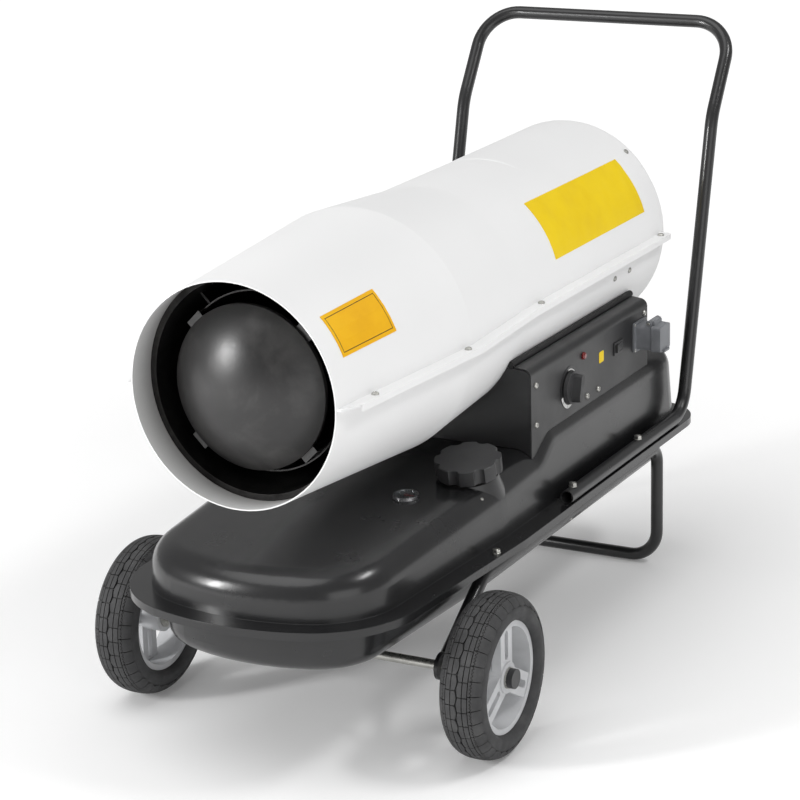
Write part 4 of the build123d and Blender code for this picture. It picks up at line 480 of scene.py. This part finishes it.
def ring_grid(bm, rings, closed=False):
    """Quads between rings of equal length; closed joins the last ring to the first."""
    grid = [[bm.verts.new(point) for point in ring] for ring in rings]
    following = grid[1:] + grid[:1] if closed else grid[1:]
    for ring, after in zip(grid, following):
        for j in range(len(ring)):
            k = (j + 1) % len(ring)
            bm.faces.new((ring[j], ring[k], after[k], after[j]))
    return grid


def skirt(bm, first, second):
    """Side walls between the borders of two grids of vertices."""
    rows = len(first) - 1
    columns = len(first[0]) - 1
    border = [(0, j) for j in range(columns)] + [(i, columns) for i in range(rows)]
    border += [(rows, j) for j in range(columns, 0, -1)] + [(i, 0) for i in range(rows, 0, -1)]
    for (i, j), (k, n) in zip(border, border[1:] + border[:1]):
        bm.faces.new((first[i][j], second[i][j], second[k][n], first[k][n]))


def thin_block(bm, outline, x, lift, thick):
    """Closed block over an outline (y, z), which starts lift above the plane at x."""
    low = [bm.verts.new((x + lift, y, z)) for y, z in outline]
    high = [bm.verts.new((x + lift + thick, y, z)) for y, z in outline]
    count = len(outline)
    for i in range(count):
        j = (i + 1) % count
        bm.faces.new((low[i], low[j], high[j], high[i]))
    bm.faces.new(low[::-1])
    bm.faces.new(high)


# ------------------------------------------------------------------ tyres with block tread

TYRE_HALF_W = 0.0284
TYRE_ROUND_R = 0.0740  # wheel radius at which the section is widest
TYRE_ROUND_H = 0.0258  # from there to the crown
TYRE_SQUARENESS = 2.7  # power of the section's curve, where 2 is an ellipse
PROFILE_STEPS = 240
CARCASS_STEPS = 102
TREAD_COUNT = 34
TREAD_STEP = 2 * math.pi / TREAD_COUNT
TREAD_DEPTH = 0.0030
HALF_GROOVE = 0.00055
HALF_SIPE = 0.00044

# Arcs across the tread from its crown
CENTRE_EDGE = 0.0136
LEFT_GROOVE = -0.0071
RIGHT_GROOVE = 0.0076
LEFT_BOW_AT = -0.0012
LEFT_BOW = 0.0022
RIGHT_BOW_AT = 0.0006
RIGHT_BOW = 0.0012
STRIP_EDGE = 0.0146
ZIGZAG_AT = 0.0178
ZIGZAG = 0.0011
LUG_EDGE = 0.0308
LUG_BOW = 0.0020

ZIGZAG_END = 0.4  # share of the zigzag's width at both ends of a block
# Ends of a block round the wheel, in tread steps, and its faces across and along
CENTRE_REACH = (0.035, 0.965)
CENTRE_COUNTS = (3, 5)
SHOULDER_REACH = (0.03, 0.97)
SHOULDER_STEPS = 8
STRIP_FACES = 2
LUG_FACES = 6

# Carcass as (arc, depth): sunk under the tread, and rising to the surface on the side wall
CARCASS = [(mm / 1000, TREAD_DEPTH) for mm in range(0, 29, 4)]
CARCASS += [(0.0305, 0.0024), (0.0325, 0.0010), (0.0345, 0.0003)]
CARCASS += [(0.0375, 0.0), (0.0405, 0.0), (0.0435, 0.0)]
BEAD = [(0.0270, 0.0725), (0.0245, 0.0700), (0.0205, 0.0683)]  # (x, radius), on to the rim


def tyre_profile():
    """Points (arc, x, radius) of the tyre's outer section, from the crown down one side."""
    points = []
    arc = 0.0
    for k in range(PROFILE_STEPS + 1):
        turn = math.pi / 2 * k / PROFILE_STEPS
        x = TYRE_HALF_W * math.sin(turn) ** (2 / TYRE_SQUARENESS)
        r = TYRE_ROUND_R + TYRE_ROUND_H * max(0.0, math.cos(turn)) ** (2 / TYRE_SQUARENESS)
        if points:
            arc += math.hypot(x - points[-1][1], r - points[-1][2])
        points.append((arc, x, r))
    return points


PROFILE = tyre_profile()


def on_profile(arc, sink=0.0):
    """Section point (x, radius) at an arc from the crown, sunk below the surface."""
    reach = abs(arc)
    k = 1
    while k < len(PROFILE) - 1 and PROFILE[k][0] < reach:
        k += 1
    before, after = PROFILE[k - 1], PROFILE[k]
    share = (reach - before[0]) / (after[0] - before[0])
    dx = after[1] - before[1]
    dr = after[2] - before[2]
    length = math.hypot(dx, dr)
    x = before[1] + share * dx + sink * dr / length
    r = before[2] + share * dr - sink * dx / length
    return math.copysign(1, arc) * x, r


def wheel_place(side, x, r, turn):
    """Point of a wheel at x outwards from its middle, radius r and an angle round the axle."""
    return Vector((side * (WHEEL_X + x), AXLE_Y + r * math.cos(turn), AXLE_Z + r * math.sin(turn)))


def tread_block(bm, side, edges, start, reach, counts):
    """Block between two edges, each an arc as a function of the share of the block's length.

    start is an angle, reach the block's two ends from there in tread steps, and counts are its
    faces across and along.
    """
    inner, outer = edges
    across, along = counts
    top, low = [], []
    for j in range(along + 1):
        turn = start + (reach[0] + (reach[1] - reach[0]) * j / along) * TREAD_STEP
        near, far = inner(j / along), outer(j / along)
        arcs = [near + (far - near) * i / across for i in range(across + 1)]
        top.append([bm.verts.new(wheel_place(side, *on_profile(s), turn)) for s in arcs])
        low.append([bm.verts.new(wheel_place(side, *on_profile(s, TREAD_DEPTH), turn)) for s in arcs])
    for j in range(along):
        for i in range(across):
            bm.faces.new((top[j][i], top[j][i + 1], top[j + 1][i + 1], top[j + 1][i]))
    skirt(bm, top, low)


def fixed(arc):
    """Edge that stays at one arc."""
    return lambda v: arc


def mirrored(edge):
    return lambda v: -edge(v)


def left_bow(v):
    return LEFT_BOW_AT + LEFT_BOW * math.sin(math.pi * v) - HALF_GROOVE


def right_bow(v):
    return RIGHT_BOW_AT + RIGHT_BOW * (1 - math.sin(math.pi * v)) + HALF_GROOVE


def zigzag(v):
    """Line of the shoulder's sipe, which turns at each step and is shallower at both ends."""
    way = 1 if round(v * SHOULDER_STEPS) % 2 else -1
    return ZIGZAG_AT + ZIGZAG * way * (ZIGZAG_END if v in (0.0, 1.0) else 1.0)


def centre_blocks(bm, side, step):
    """Two pairs of half blocks, one on either side of the bowed groove at the crown."""
    left = (
        (fixed(-CENTRE_EDGE), fixed(LEFT_GROOVE - HALF_GROOVE)),
        (fixed(LEFT_GROOVE + HALF_GROOVE), left_bow),
    )
    right = (
        (right_bow, fixed(RIGHT_GROOVE - HALF_GROOVE)),
        (fixed(RIGHT_GROOVE + HALF_GROOVE), fixed(CENTRE_EDGE)),
    )
    for shift, pair in ((0.0, left), (0.42, right)):
        start = (step + shift) * TREAD_STEP
        for edges in pair:
            tread_block(bm, side, edges, start, CENTRE_REACH, CENTRE_COUNTS)


def shoulder_blocks(bm, side, step):
    """On either shoulder, a strip and a lug that wraps it, parted by a zigzag sipe."""
    strip = (fixed(STRIP_EDGE), lambda v: zigzag(v) - HALF_SIPE)
    lug = (lambda v: zigzag(v) + HALF_SIPE, lambda v: LUG_EDGE + LUG_BOW * math.sin(math.pi * v))
    for shift, flip in ((0.75, True), (0.3, False)):
        start = (step + shift) * TREAD_STEP
        for (inner, outer), across in ((strip, STRIP_FACES), (lug, LUG_FACES)):
            edges = (mirrored(outer), mirrored(inner)) if flip else (inner, outer)
            tread_block(bm, side, edges, start, SHOULDER_REACH, (across, SHOULDER_STEPS))


def tyre(side, label):
    bm = bmesh.new()
    half = [on_profile(arc, depth) for arc, depth in CARCASS] + BEAD
    section = [(-x, r) for x, r in reversed(half[1:])] + half
    turns = [2 * math.pi * j / CARCASS_STEPS for j in range(CARCASS_STEPS)]
    rings = [[wheel_place(side, x, r, turn) for x, r in section] for turn in turns]
    ring_grid(bm, rings, closed=True)
    for step in range(TREAD_COUNT):
        centre_blocks(bm, side, step)
        shoulder_blocks(bm, side, step)
    bmesh.ops.recalc_face_normals(bm, faces=bm.faces)
    look = LOOKS["tyre_rubber"]
    replaced = ("tyre_" + label,)
    piece("tread_tyre_" + label, bm, look, "wheel_" + label, 30, replaced)


tyre(-1, "left")
tyre(1, "right")

# ------------------------------------------------------------------ screws with cross recess

SCREW_SEGMENTS = 24
SHANK_SEGMENTS = 12
SHANK_R = 0.002
HEAD_SINK = 0.0002  # of a head into the face that it stands on
# Head as shares of its radius and height, from the rim to the flat round the recess
HEAD_PROFILE = ((1.0, 0.0), (1.0, 0.22), (0.93, 0.5), (0.78, 0.8), (0.58, 0.97), (0.50, 1.0))
CROSS_HALF_W = 0.11
CROSS_ARM = 0.46
CROSS_FLOOR = 0.35
X_AXIS = Vector((1, 0, 0))
Y_AXIS = Vector((0, 1, 0))
Z_AXIS = Vector((0, 0, 1))


def cross_outline(half, arm):
    """Corners of a cross, one arm after the other."""
    arm_x = [(arm, -half), (arm, half), (half, half)]
    arm_y = [(half, arm), (-half, arm), (-half, half)]
    return arm_x + arm_y + [(-x, -y) for x, y in arm_x + arm_y]


def closed_edges(bm, ring):
    return [bm.edges.get(pair) for pair in zip(ring, ring[1:] + ring[:1])]


def screw_head(bm, place, axis, r, h, turn):
    """Domed head with a cross-shaped recess."""
    axis = Vector(axis).normalized()
    place = Vector(place)
    level = axis.orthogonal().normalized()
    first = level * math.cos(turn) + axis.cross(level) * math.sin(turn)
    second = axis.cross(first)

    def at(x, y, z):
        return place + first * x + second * y + axis * z

    def ring(radius, height):
        turns = [2 * math.pi * j / SCREW_SEGMENTS for j in range(SCREW_SEGMENTS)]
        return [at(radius * math.cos(a), radius * math.sin(a), height) for a in turns]

    grid = ring_grid(bm, [ring(r * wide, h * high) for wide, high in HEAD_PROFILE])
    cross = cross_outline(r * CROSS_HALF_W, r * CROSS_ARM)
    top = [bm.verts.new(at(x, y, h)) for x, y in cross]
    low = [bm.verts.new(at(0.8 * x, 0.8 * y, h * CROSS_FLOOR)) for x, y in cross]
    for i in range(len(cross)):
        j = (i + 1) % len(cross)
        bm.faces.new((top[i], top[j], low[j], low[i]))
    bm.faces.new(low)
    rims = closed_edges(bm, top) + closed_edges(bm, grid[-1])
    bmesh.ops.triangle_fill(bm, use_beauty=True, edges=rims)
    bm.faces.new([bm.verts.new(v.co) for v in grid[0]])


def shank(bm, head, end, first, second):
    """Plain shank from under the head to its end, round the two directions across it."""
    turns = [2 * math.pi * j / SHANK_SEGMENTS for j in range(SHANK_SEGMENTS)]
    round_it = [(first * math.cos(a) + second * math.sin(a)) * SHANK_R for a in turns]
    grid = ring_grid(bm, [[place + off for off in round_it] for place in (head, end)])
    bm.faces.new(grid[-1])


def solid_middles(name):
    """Middles of the boxes round a CAD node's separate solids, from low X upwards."""
    bm = bmesh.new()
    bm.from_mesh(NODES[name].data)
    bmesh.ops.remove_doubles(bm, verts=bm.verts, dist=1e-6)
    seen = set()
    boxes = []
    for start in bm.verts:
        if start in seen:
            continue
        waiting = [start]
        seen.add(start)
        points = []
        while waiting:
            vert = waiting.pop()
            points.append(vert.co.copy())
            beside = [edge.other_vert(vert) for edge in vert.link_edges]
            fresh = [other for other in beside if other not in seen]
            seen.update(fresh)
            waiting += fresh
        low = Vector([min(p[i] for p in points) for i in range(3)])
        high = Vector([max(p[i] for p in points) for i in range(3)])
        boxes.append((tuple(low), (low + high) / 2))
    bm.free()
    return [middle for low, middle in sorted(boxes, key=lambda box: box[0])]


SEAM_TOP_Z = 0.4615  # upper face of the seam flange
SHELL_SCREW_L = 0.0045
COVER_SCREW_END_X = 0.1556

bm = bmesh.new()
for k, middle in enumerate(solid_middles("shell_screws")):
    head = Vector((middle.x, middle.y, SEAM_TOP_Z))
    screw_head(bm, head, Z_AXIS, 0.0045, 0.0029, 0.7 * k)
    shank(bm, head, head - Z_AXIS * SHELL_SCREW_L, X_AXIS, Y_AXIS)
piece("shell_screw_heads", bm, LOOKS["zinc"], "chassis", 35, ("shell_screws",))

bm = bmesh.new()
for k, middle in enumerate(solid_middles("cover_screws")):
    head = Vector((PANEL_X, middle.y, middle.z))
    screw_head(bm, head, X_AXIS, 0.0042, 0.0028, 0.9 * k)
    shank(bm, head, Vector((COVER_SCREW_END_X, middle.y, middle.z)), Y_AXIS, Z_AXIS)
piece("cover_screw_heads", bm, LOOKS["zinc"], "chassis", 35, ("cover_screws",))

# ------------------------------------------------------------------ bare films on the barrel

FILM_LIFT = 0.00015
FILM_T = 0.0003
INK_T = 0.0001
RAY_START_R = 0.3  # outside the barrel, from where its radius is measured
# Films as front and rear Y, and upper and lower angle in degrees
FRONT_FILM = (-0.475, -0.364, 44, 22)
REAR_FILM = (0.062, 0.355, 49, 16)
BORDER_INSET = 0.0045
BORDER_W = 0.0008

shell_mesh = bmesh.new()
shell_mesh.from_mesh(NODES["upper_shell"].data)
shell_tree = BVHTree.FromBMesh(shell_mesh)
shell_mesh.free()


def barrel_r(y, turn):
    """Outer radius of the upper shell at y and at an angle above the level of its axis."""
    out = Vector((math.cos(turn), 0.0, math.sin(turn)))
    start = Vector((0.0, y, BARREL_Z)) + out * RAY_START_R
    hit = shell_tree.ray_cast(start, -out)[0]
    return RAY_START_R - (start - hit).length


def barrel_film(name, extent, look, lift=FILM_LIFT, thick=FILM_T, counts=(60, 40)):
    """Thin film that follows the barrel between two places along it and two angles."""
    front, rear, upper, lower = extent
    along, round_it = counts
    bm = bmesh.new()
    layers = []
    for height in (0.0, thick):
        grid = []
        for i in range(along + 1):
            y = front + (rear - front) * i / along
            row = []
            for j in range(round_it + 1):
                turn = math.radians(upper + (lower - upper) * j / round_it)
                r = barrel_r(y, turn) + lift + height
                row.append(bm.verts.new((r * math.cos(turn), y, BARREL_Z + r * math.sin(turn))))
            grid.append(row)
        for i in range(along):
            for j in range(round_it):
                corners = [grid[i][j], grid[i + 1][j], grid[i + 1][j + 1], grid[i][j + 1]]
                bm.faces.new(corners[::-1] if height else corners)
        layers.append(grid)
    skirt(bm, *layers)
    bmesh.ops.recalc_face_normals(bm, faces=bm.faces)
    piece(name, bm, look, "chassis", 40)


def film_border(name, extent, inset, width):
    """Plain printed line just above a film, set in from its edges."""
    front, rear, upper, lower = extent
    r = barrel_r((front + rear) / 2, math.radians((upper + lower) / 2))
    turn = math.degrees(inset / r)
    line = math.degrees(width / r)
    front += inset
    rear -= inset
    upper -= turn
    lower += turn
    ink = {"look": BLACK_PRINT, "lift": FILM_LIFT + FILM_T, "thick": INK_T}
    barrel_film(name + "_low", (front, rear, lower + line, lower), counts=(30, 1), **ink)
    barrel_film(name + "_high", (front, rear, upper, upper - line), counts=(30, 1), **ink)
    barrel_film(name + "_front", (front, front + width, upper, lower), counts=(1, 20), **ink)
    barrel_film(name + "_rear", (rear - width, rear, upper, lower), counts=(1, 20), **ink)


barrel_film("front_label", FRONT_FILM, AMBER_FILM)
barrel_film("rear_label", REAR_FILM, YELLOW_FILM)
film_border("front_border", FRONT_FILM, BORDER_INSET, BORDER_W)

# ------------------------------------------------------------------ small screws and rivets

HOOD_SCREW = (0.398, 50.0)  # Y and degrees above the axis
SKIN_SCREWS = ((0.246, -11.3), (0.296, -11.3))
LOWER_SHELL_R = 0.145
PLATE_X = 0.165  # face of the socket's plate
PLATE_Y = 0.282
PLATE_Z = 0.3465
PLATE_PITCH_Y = 0.0194  # from its middle to a screw
PLATE_PITCH_Z = 0.0178
DECK_RIVET = (0.1603, -0.2049, 0.2647)
DECK_RIVET_AXIS = (0.77, -0.08, 0.63)
TUB_RIVET = (0.1542, 0.0706, 0.1481)
TUB_RIVET_AXIS = (0.92, 0.0, -0.4)


def sunk_head(bm, place, axis, r, h, turn):
    """Screw head sunk a hair into the face that it stands on."""
    axis = Vector(axis).normalized()
    screw_head(bm, Vector(place) - axis * HEAD_SINK, axis, r, h, turn)


def skin_screw(bm, y, degrees, r, turn):
    angle = math.radians(degrees)
    out = Vector((math.cos(angle), 0.0, math.sin(angle)))
    sunk_head(bm, Vector((0.0, y, BARREL_Z)) + out * r, out, 0.0040, 0.0024, turn)


bm = bmesh.new()
skin_screw(bm, *HOOD_SCREW, barrel_r(HOOD_SCREW[0], math.radians(HOOD_SCREW[1])), 0.0)
for k, (y, degrees) in enumerate(SKIN_SCREWS, 1):
    skin_screw(bm, y, degrees, LOWER_SHELL_R, 0.8 * k)
for k, (sy, sz) in enumerate(((-1, -1), (1, -1), (-1, 1), (1, 1))):
    place = (PLATE_X, PLATE_Y + sy * PLATE_PITCH_Y, PLATE_Z + sz * PLATE_PITCH_Z)
    sunk_head(bm, place, X_AXIS, 0.0019, 0.0012, 0.6 * k)
piece("trim_screws", bm, LOOKS["zinc"], "chassis", 35)

bm = bmesh.new()
sunk_head(bm, DECK_RIVET, DECK_RIVET_AXIS, 0.0023, 0.0015, 0.3)
for side in (-1, 1):
    mirror = Vector((side, 1, 1))
    sunk_head(bm, mirror * Vector(TUB_RIVET), mirror * Vector(TUB_RIVET_AXIS), 0.0020, 0.0012, 0.5)
piece("tank_rivets", bm, LOOKS["zinc"], "chassis", 35)

# ------------------------------------------------------------------ front tips of the seam flanges

SEAM_EAR_Y = -0.4815  # where the drawn flange begins
SEAM_LOW_Z = 0.4588
SEAM_HIGH_Z = 0.4612
SEAM_ANGLE = 4.0  # in degrees, at which the barrel's side is measured
SEAM_SINK = 0.0006
SEAM_TIP_W = 0.0055
SEAM_WIDENING = 0.0085
SEAM_STEPS = 10


def seam_tip(bm, side):
    """Flat tongue beside the barrel, from its mouth to the flange, that widens rearwards."""
    front = OUTLET_Y + 0.001
    rings = []
    for k in range(SEAM_STEPS + 1):
        share = k / SEAM_STEPS
        y = front + (SEAM_EAR_Y - front) * share
        r = barrel_r(y, math.radians(SEAM_ANGLE))
        near = side * (r - SEAM_SINK)
        far = side * (r + SEAM_TIP_W + SEAM_WIDENING * share)
        corners = (near, SEAM_LOW_Z), (far, SEAM_LOW_Z), (far, SEAM_HIGH_Z), (near, SEAM_HIGH_Z)
        rings.append([Vector((x, y, z)) for x, z in corners])
    grid = ring_grid(bm, rings)
    bm.faces.new(grid[0])
    bm.faces.new(grid[-1])


bm = bmesh.new()
for side in (-1, 1):
    seam_tip(bm, side)
bmesh.ops.recalc_face_normals(bm, faces=bm.faces)
piece("seam_tips", bm, LOOKS["shell_white"], "chassis", 30)

# ------------------------------------------------------------------ bare patch on the panel

PATCH_Y = 0.154
PATCH_Z = 0.349
PATCH_SIZE = 0.015
PATCH_CORNER_R = 0.0025
PATCH_STEPS = 5
PATCH_LIFT = 0.00005
PATCH_T = 0.00035


def patch_outline():
    """Square with rounded corners, as points (y, z) of the panel."""
    reach = PATCH_SIZE / 2 - PATCH_CORNER_R
    points = []
    for k, (sy, sz) in enumerate(((1, 1), (-1, 1), (-1, -1), (1, -1))):
        for j in range(PATCH_STEPS + 1):
            turn = math.pi / 2 * (k + j / PATCH_STEPS)
            y = PATCH_Y + sy * reach + PATCH_CORNER_R * math.cos(turn)
            z = PATCH_Z + sz * reach + PATCH_CORNER_R * math.sin(turn)
            points.append((y, z))
    return points


bm = bmesh.new()
thin_block(bm, patch_outline(), PANEL_X, PATCH_LIFT, PATCH_T)
bmesh.ops.recalc_face_normals(bm, faces=bm.faces)
piece("panel_patch", bm, YELLOW_FILM)

# ------------------------------------------------------------------ scale round the knob

KNOB_Y = 0.051
KNOB_Z = 0.3355
DIAL_X = 0.1626  # face of the dial ring
SCALE_R = 0.0229
SCALE_LIFT = 0.00003
SCALE_T = 0.00015


def scale_bar(bm, start, end, start_w, end_w, steps=6):
    """Curved bar round the knob between two angles in degrees, with a width for either end."""
    rims = []
    for k in range(steps + 1):
        turn = math.radians(start + (end - start) * k / steps)
        outer = SCALE_R + start_w + (end_w - start_w) * k / steps
        radii = (SCALE_R, outer)
        rims.append([(KNOB_Y + r * math.cos(turn), KNOB_Z + r * math.sin(turn)) for r in radii])
    for (inner, outer), (next_inner, next_outer) in zip(rims, rims[1:]):
        thin_block(bm, (inner, outer, next_outer, next_inner), DIAL_X, SCALE_LIFT, SCALE_T)


bm = bmesh.new()
scale_bar(bm, 99, 42, 0.0020, 0.0006, steps=14)
scale_bar(bm, 200, 217, 0.0045, 0.0047)
scale_bar(bm, 219, 251, 0.0047, 0.0048, steps=8)
scale_bar(bm, 253, 299, 0.0048, 0.0005, steps=12)
scale_bar(bm, 322, 333, 0.0032, 0.0032)
bmesh.ops.recalc_face_normals(bm, faces=bm.faces)
piece("dial_scale", bm, WHITE_PRINT)

# ------------------------------------------------------------------ floor

FLOOR_HALF = 30.0
FLOOR_GLOW_NEAR = 0.09  # low beside the object, which keeps its shadow
FLOOR_GLOW_FAR = 0.44
GLOW_START = 0.6  # distance from the frame's origin at which the glow begins to grow
GLOW_END = 2.6


def seen_rays(m):
    """1 for camera, glossy and transmission rays, and 0 for diffuse ones."""
    path = m.node("ShaderNodeLightPath").outputs
    mirrored_too = m.math("MAXIMUM", path["Is Camera Ray"], path["Is Glossy Ray"])
    return m.math("MAXIMUM", mirrored_too, path["Is Transmission Ray"])


def white_floor(name):
    """Pale floor that reads white where it is open and keeps a soft grey shadow."""
    m = Mat(name)
    tone = m.ramp(m.noise(scale=1.5), ((0.3, (0.93, 0.93, 0.93)), (0.7, (0.95, 0.95, 0.95))))
    distance = m.node("ShaderNodeVectorMath", operation="LENGTH")
    m.feed(distance.inputs[0], m.place)
    away = distance.outputs["Value"]
    glow = m.span(away, FLOOR_GLOW_NEAR, FLOOR_GLOW_FAR, start=GLOW_START, end=GLOW_END)
    m.set(Base_Color=tone, Roughness=0.9, Specular_IOR_Level=0.1)
    m.set(Emission_Color=(1.0, 1.0, 1.0))
    m.set(Emission_Strength=m.math("MULTIPLY", seen_rays(m), glow))
    return m.material


bm = bmesh.new()
bmesh.ops.create_grid(bm, x_segments=8, y_segments=8, size=FLOOR_HALF)
floor_mesh = bpy.data.meshes.new("floor")
bm.to_mesh(floor_mesh)
bm.free()
floor_mesh.materials.append(white_floor("studio_floor"))
floor = bpy.data.objects.new("floor", floor_mesh)
bpy.context.scene.collection.objects.link(floor)

# ------------------------------------------------------------------ light

AMBIENT = 0.38

world = bpy.data.worlds.new("studio")
bpy.context.scene.world = world
world.use_nodes = True
background = world.node_tree.nodes["Background"]
background.inputs["Color"].default_value = (1, 1, 1, 1)
background.inputs["Strength"].default_value = AMBIENT


def lamp(name, kind, place, direction):
    """Lamp that shines along a direction."""
    data = bpy.data.lights.new(name, kind)
    made = bpy.data.objects.new(name, data)
    bpy.context.scene.collection.objects.link(made)
    made.location = place
    made.rotation_euler = direction.to_track_quat("-Z", "Y").to_euler()
    return data


def soft_box(name, place, target, size, power):
    """Rectangular soft box aimed at a point."""
    aim = (Vector(target) - Vector(place)).normalized()
    data = lamp(name, "AREA", place, aim)
    data.shape = "RECTANGLE"
    data.size, data.size_y = size
    data.energy = power


def sky_panel(name, direction, angle, strength):
    """Wide soft light from overhead that reaches the whole floor alike."""
    data = lamp(name, "SUN", (0, 0, 0), -Vector(direction))
    data.energy = strength
    data.angle = math.radians(angle)


sky_panel("overhead", (-0.2, -0.25, 1.0), angle=48, strength=0.92)
soft_box("left", (-1.84, -2.60, 1.28), (0, -0.47, 0.40), size=(0.36, 0.95), power=52)
soft_box("right", (1.80, 0.30, 2.45), (0.1, -0.4, 0.25), size=(0.9, 0.28), power=19)
soft_box("right_low", (2.6, -1.8, 0.9), (0.15, -0.1, 0.3), size=(2.2, 1.4), power=13)

bpy.context.scene.view_settings.view_transform = "Standard"
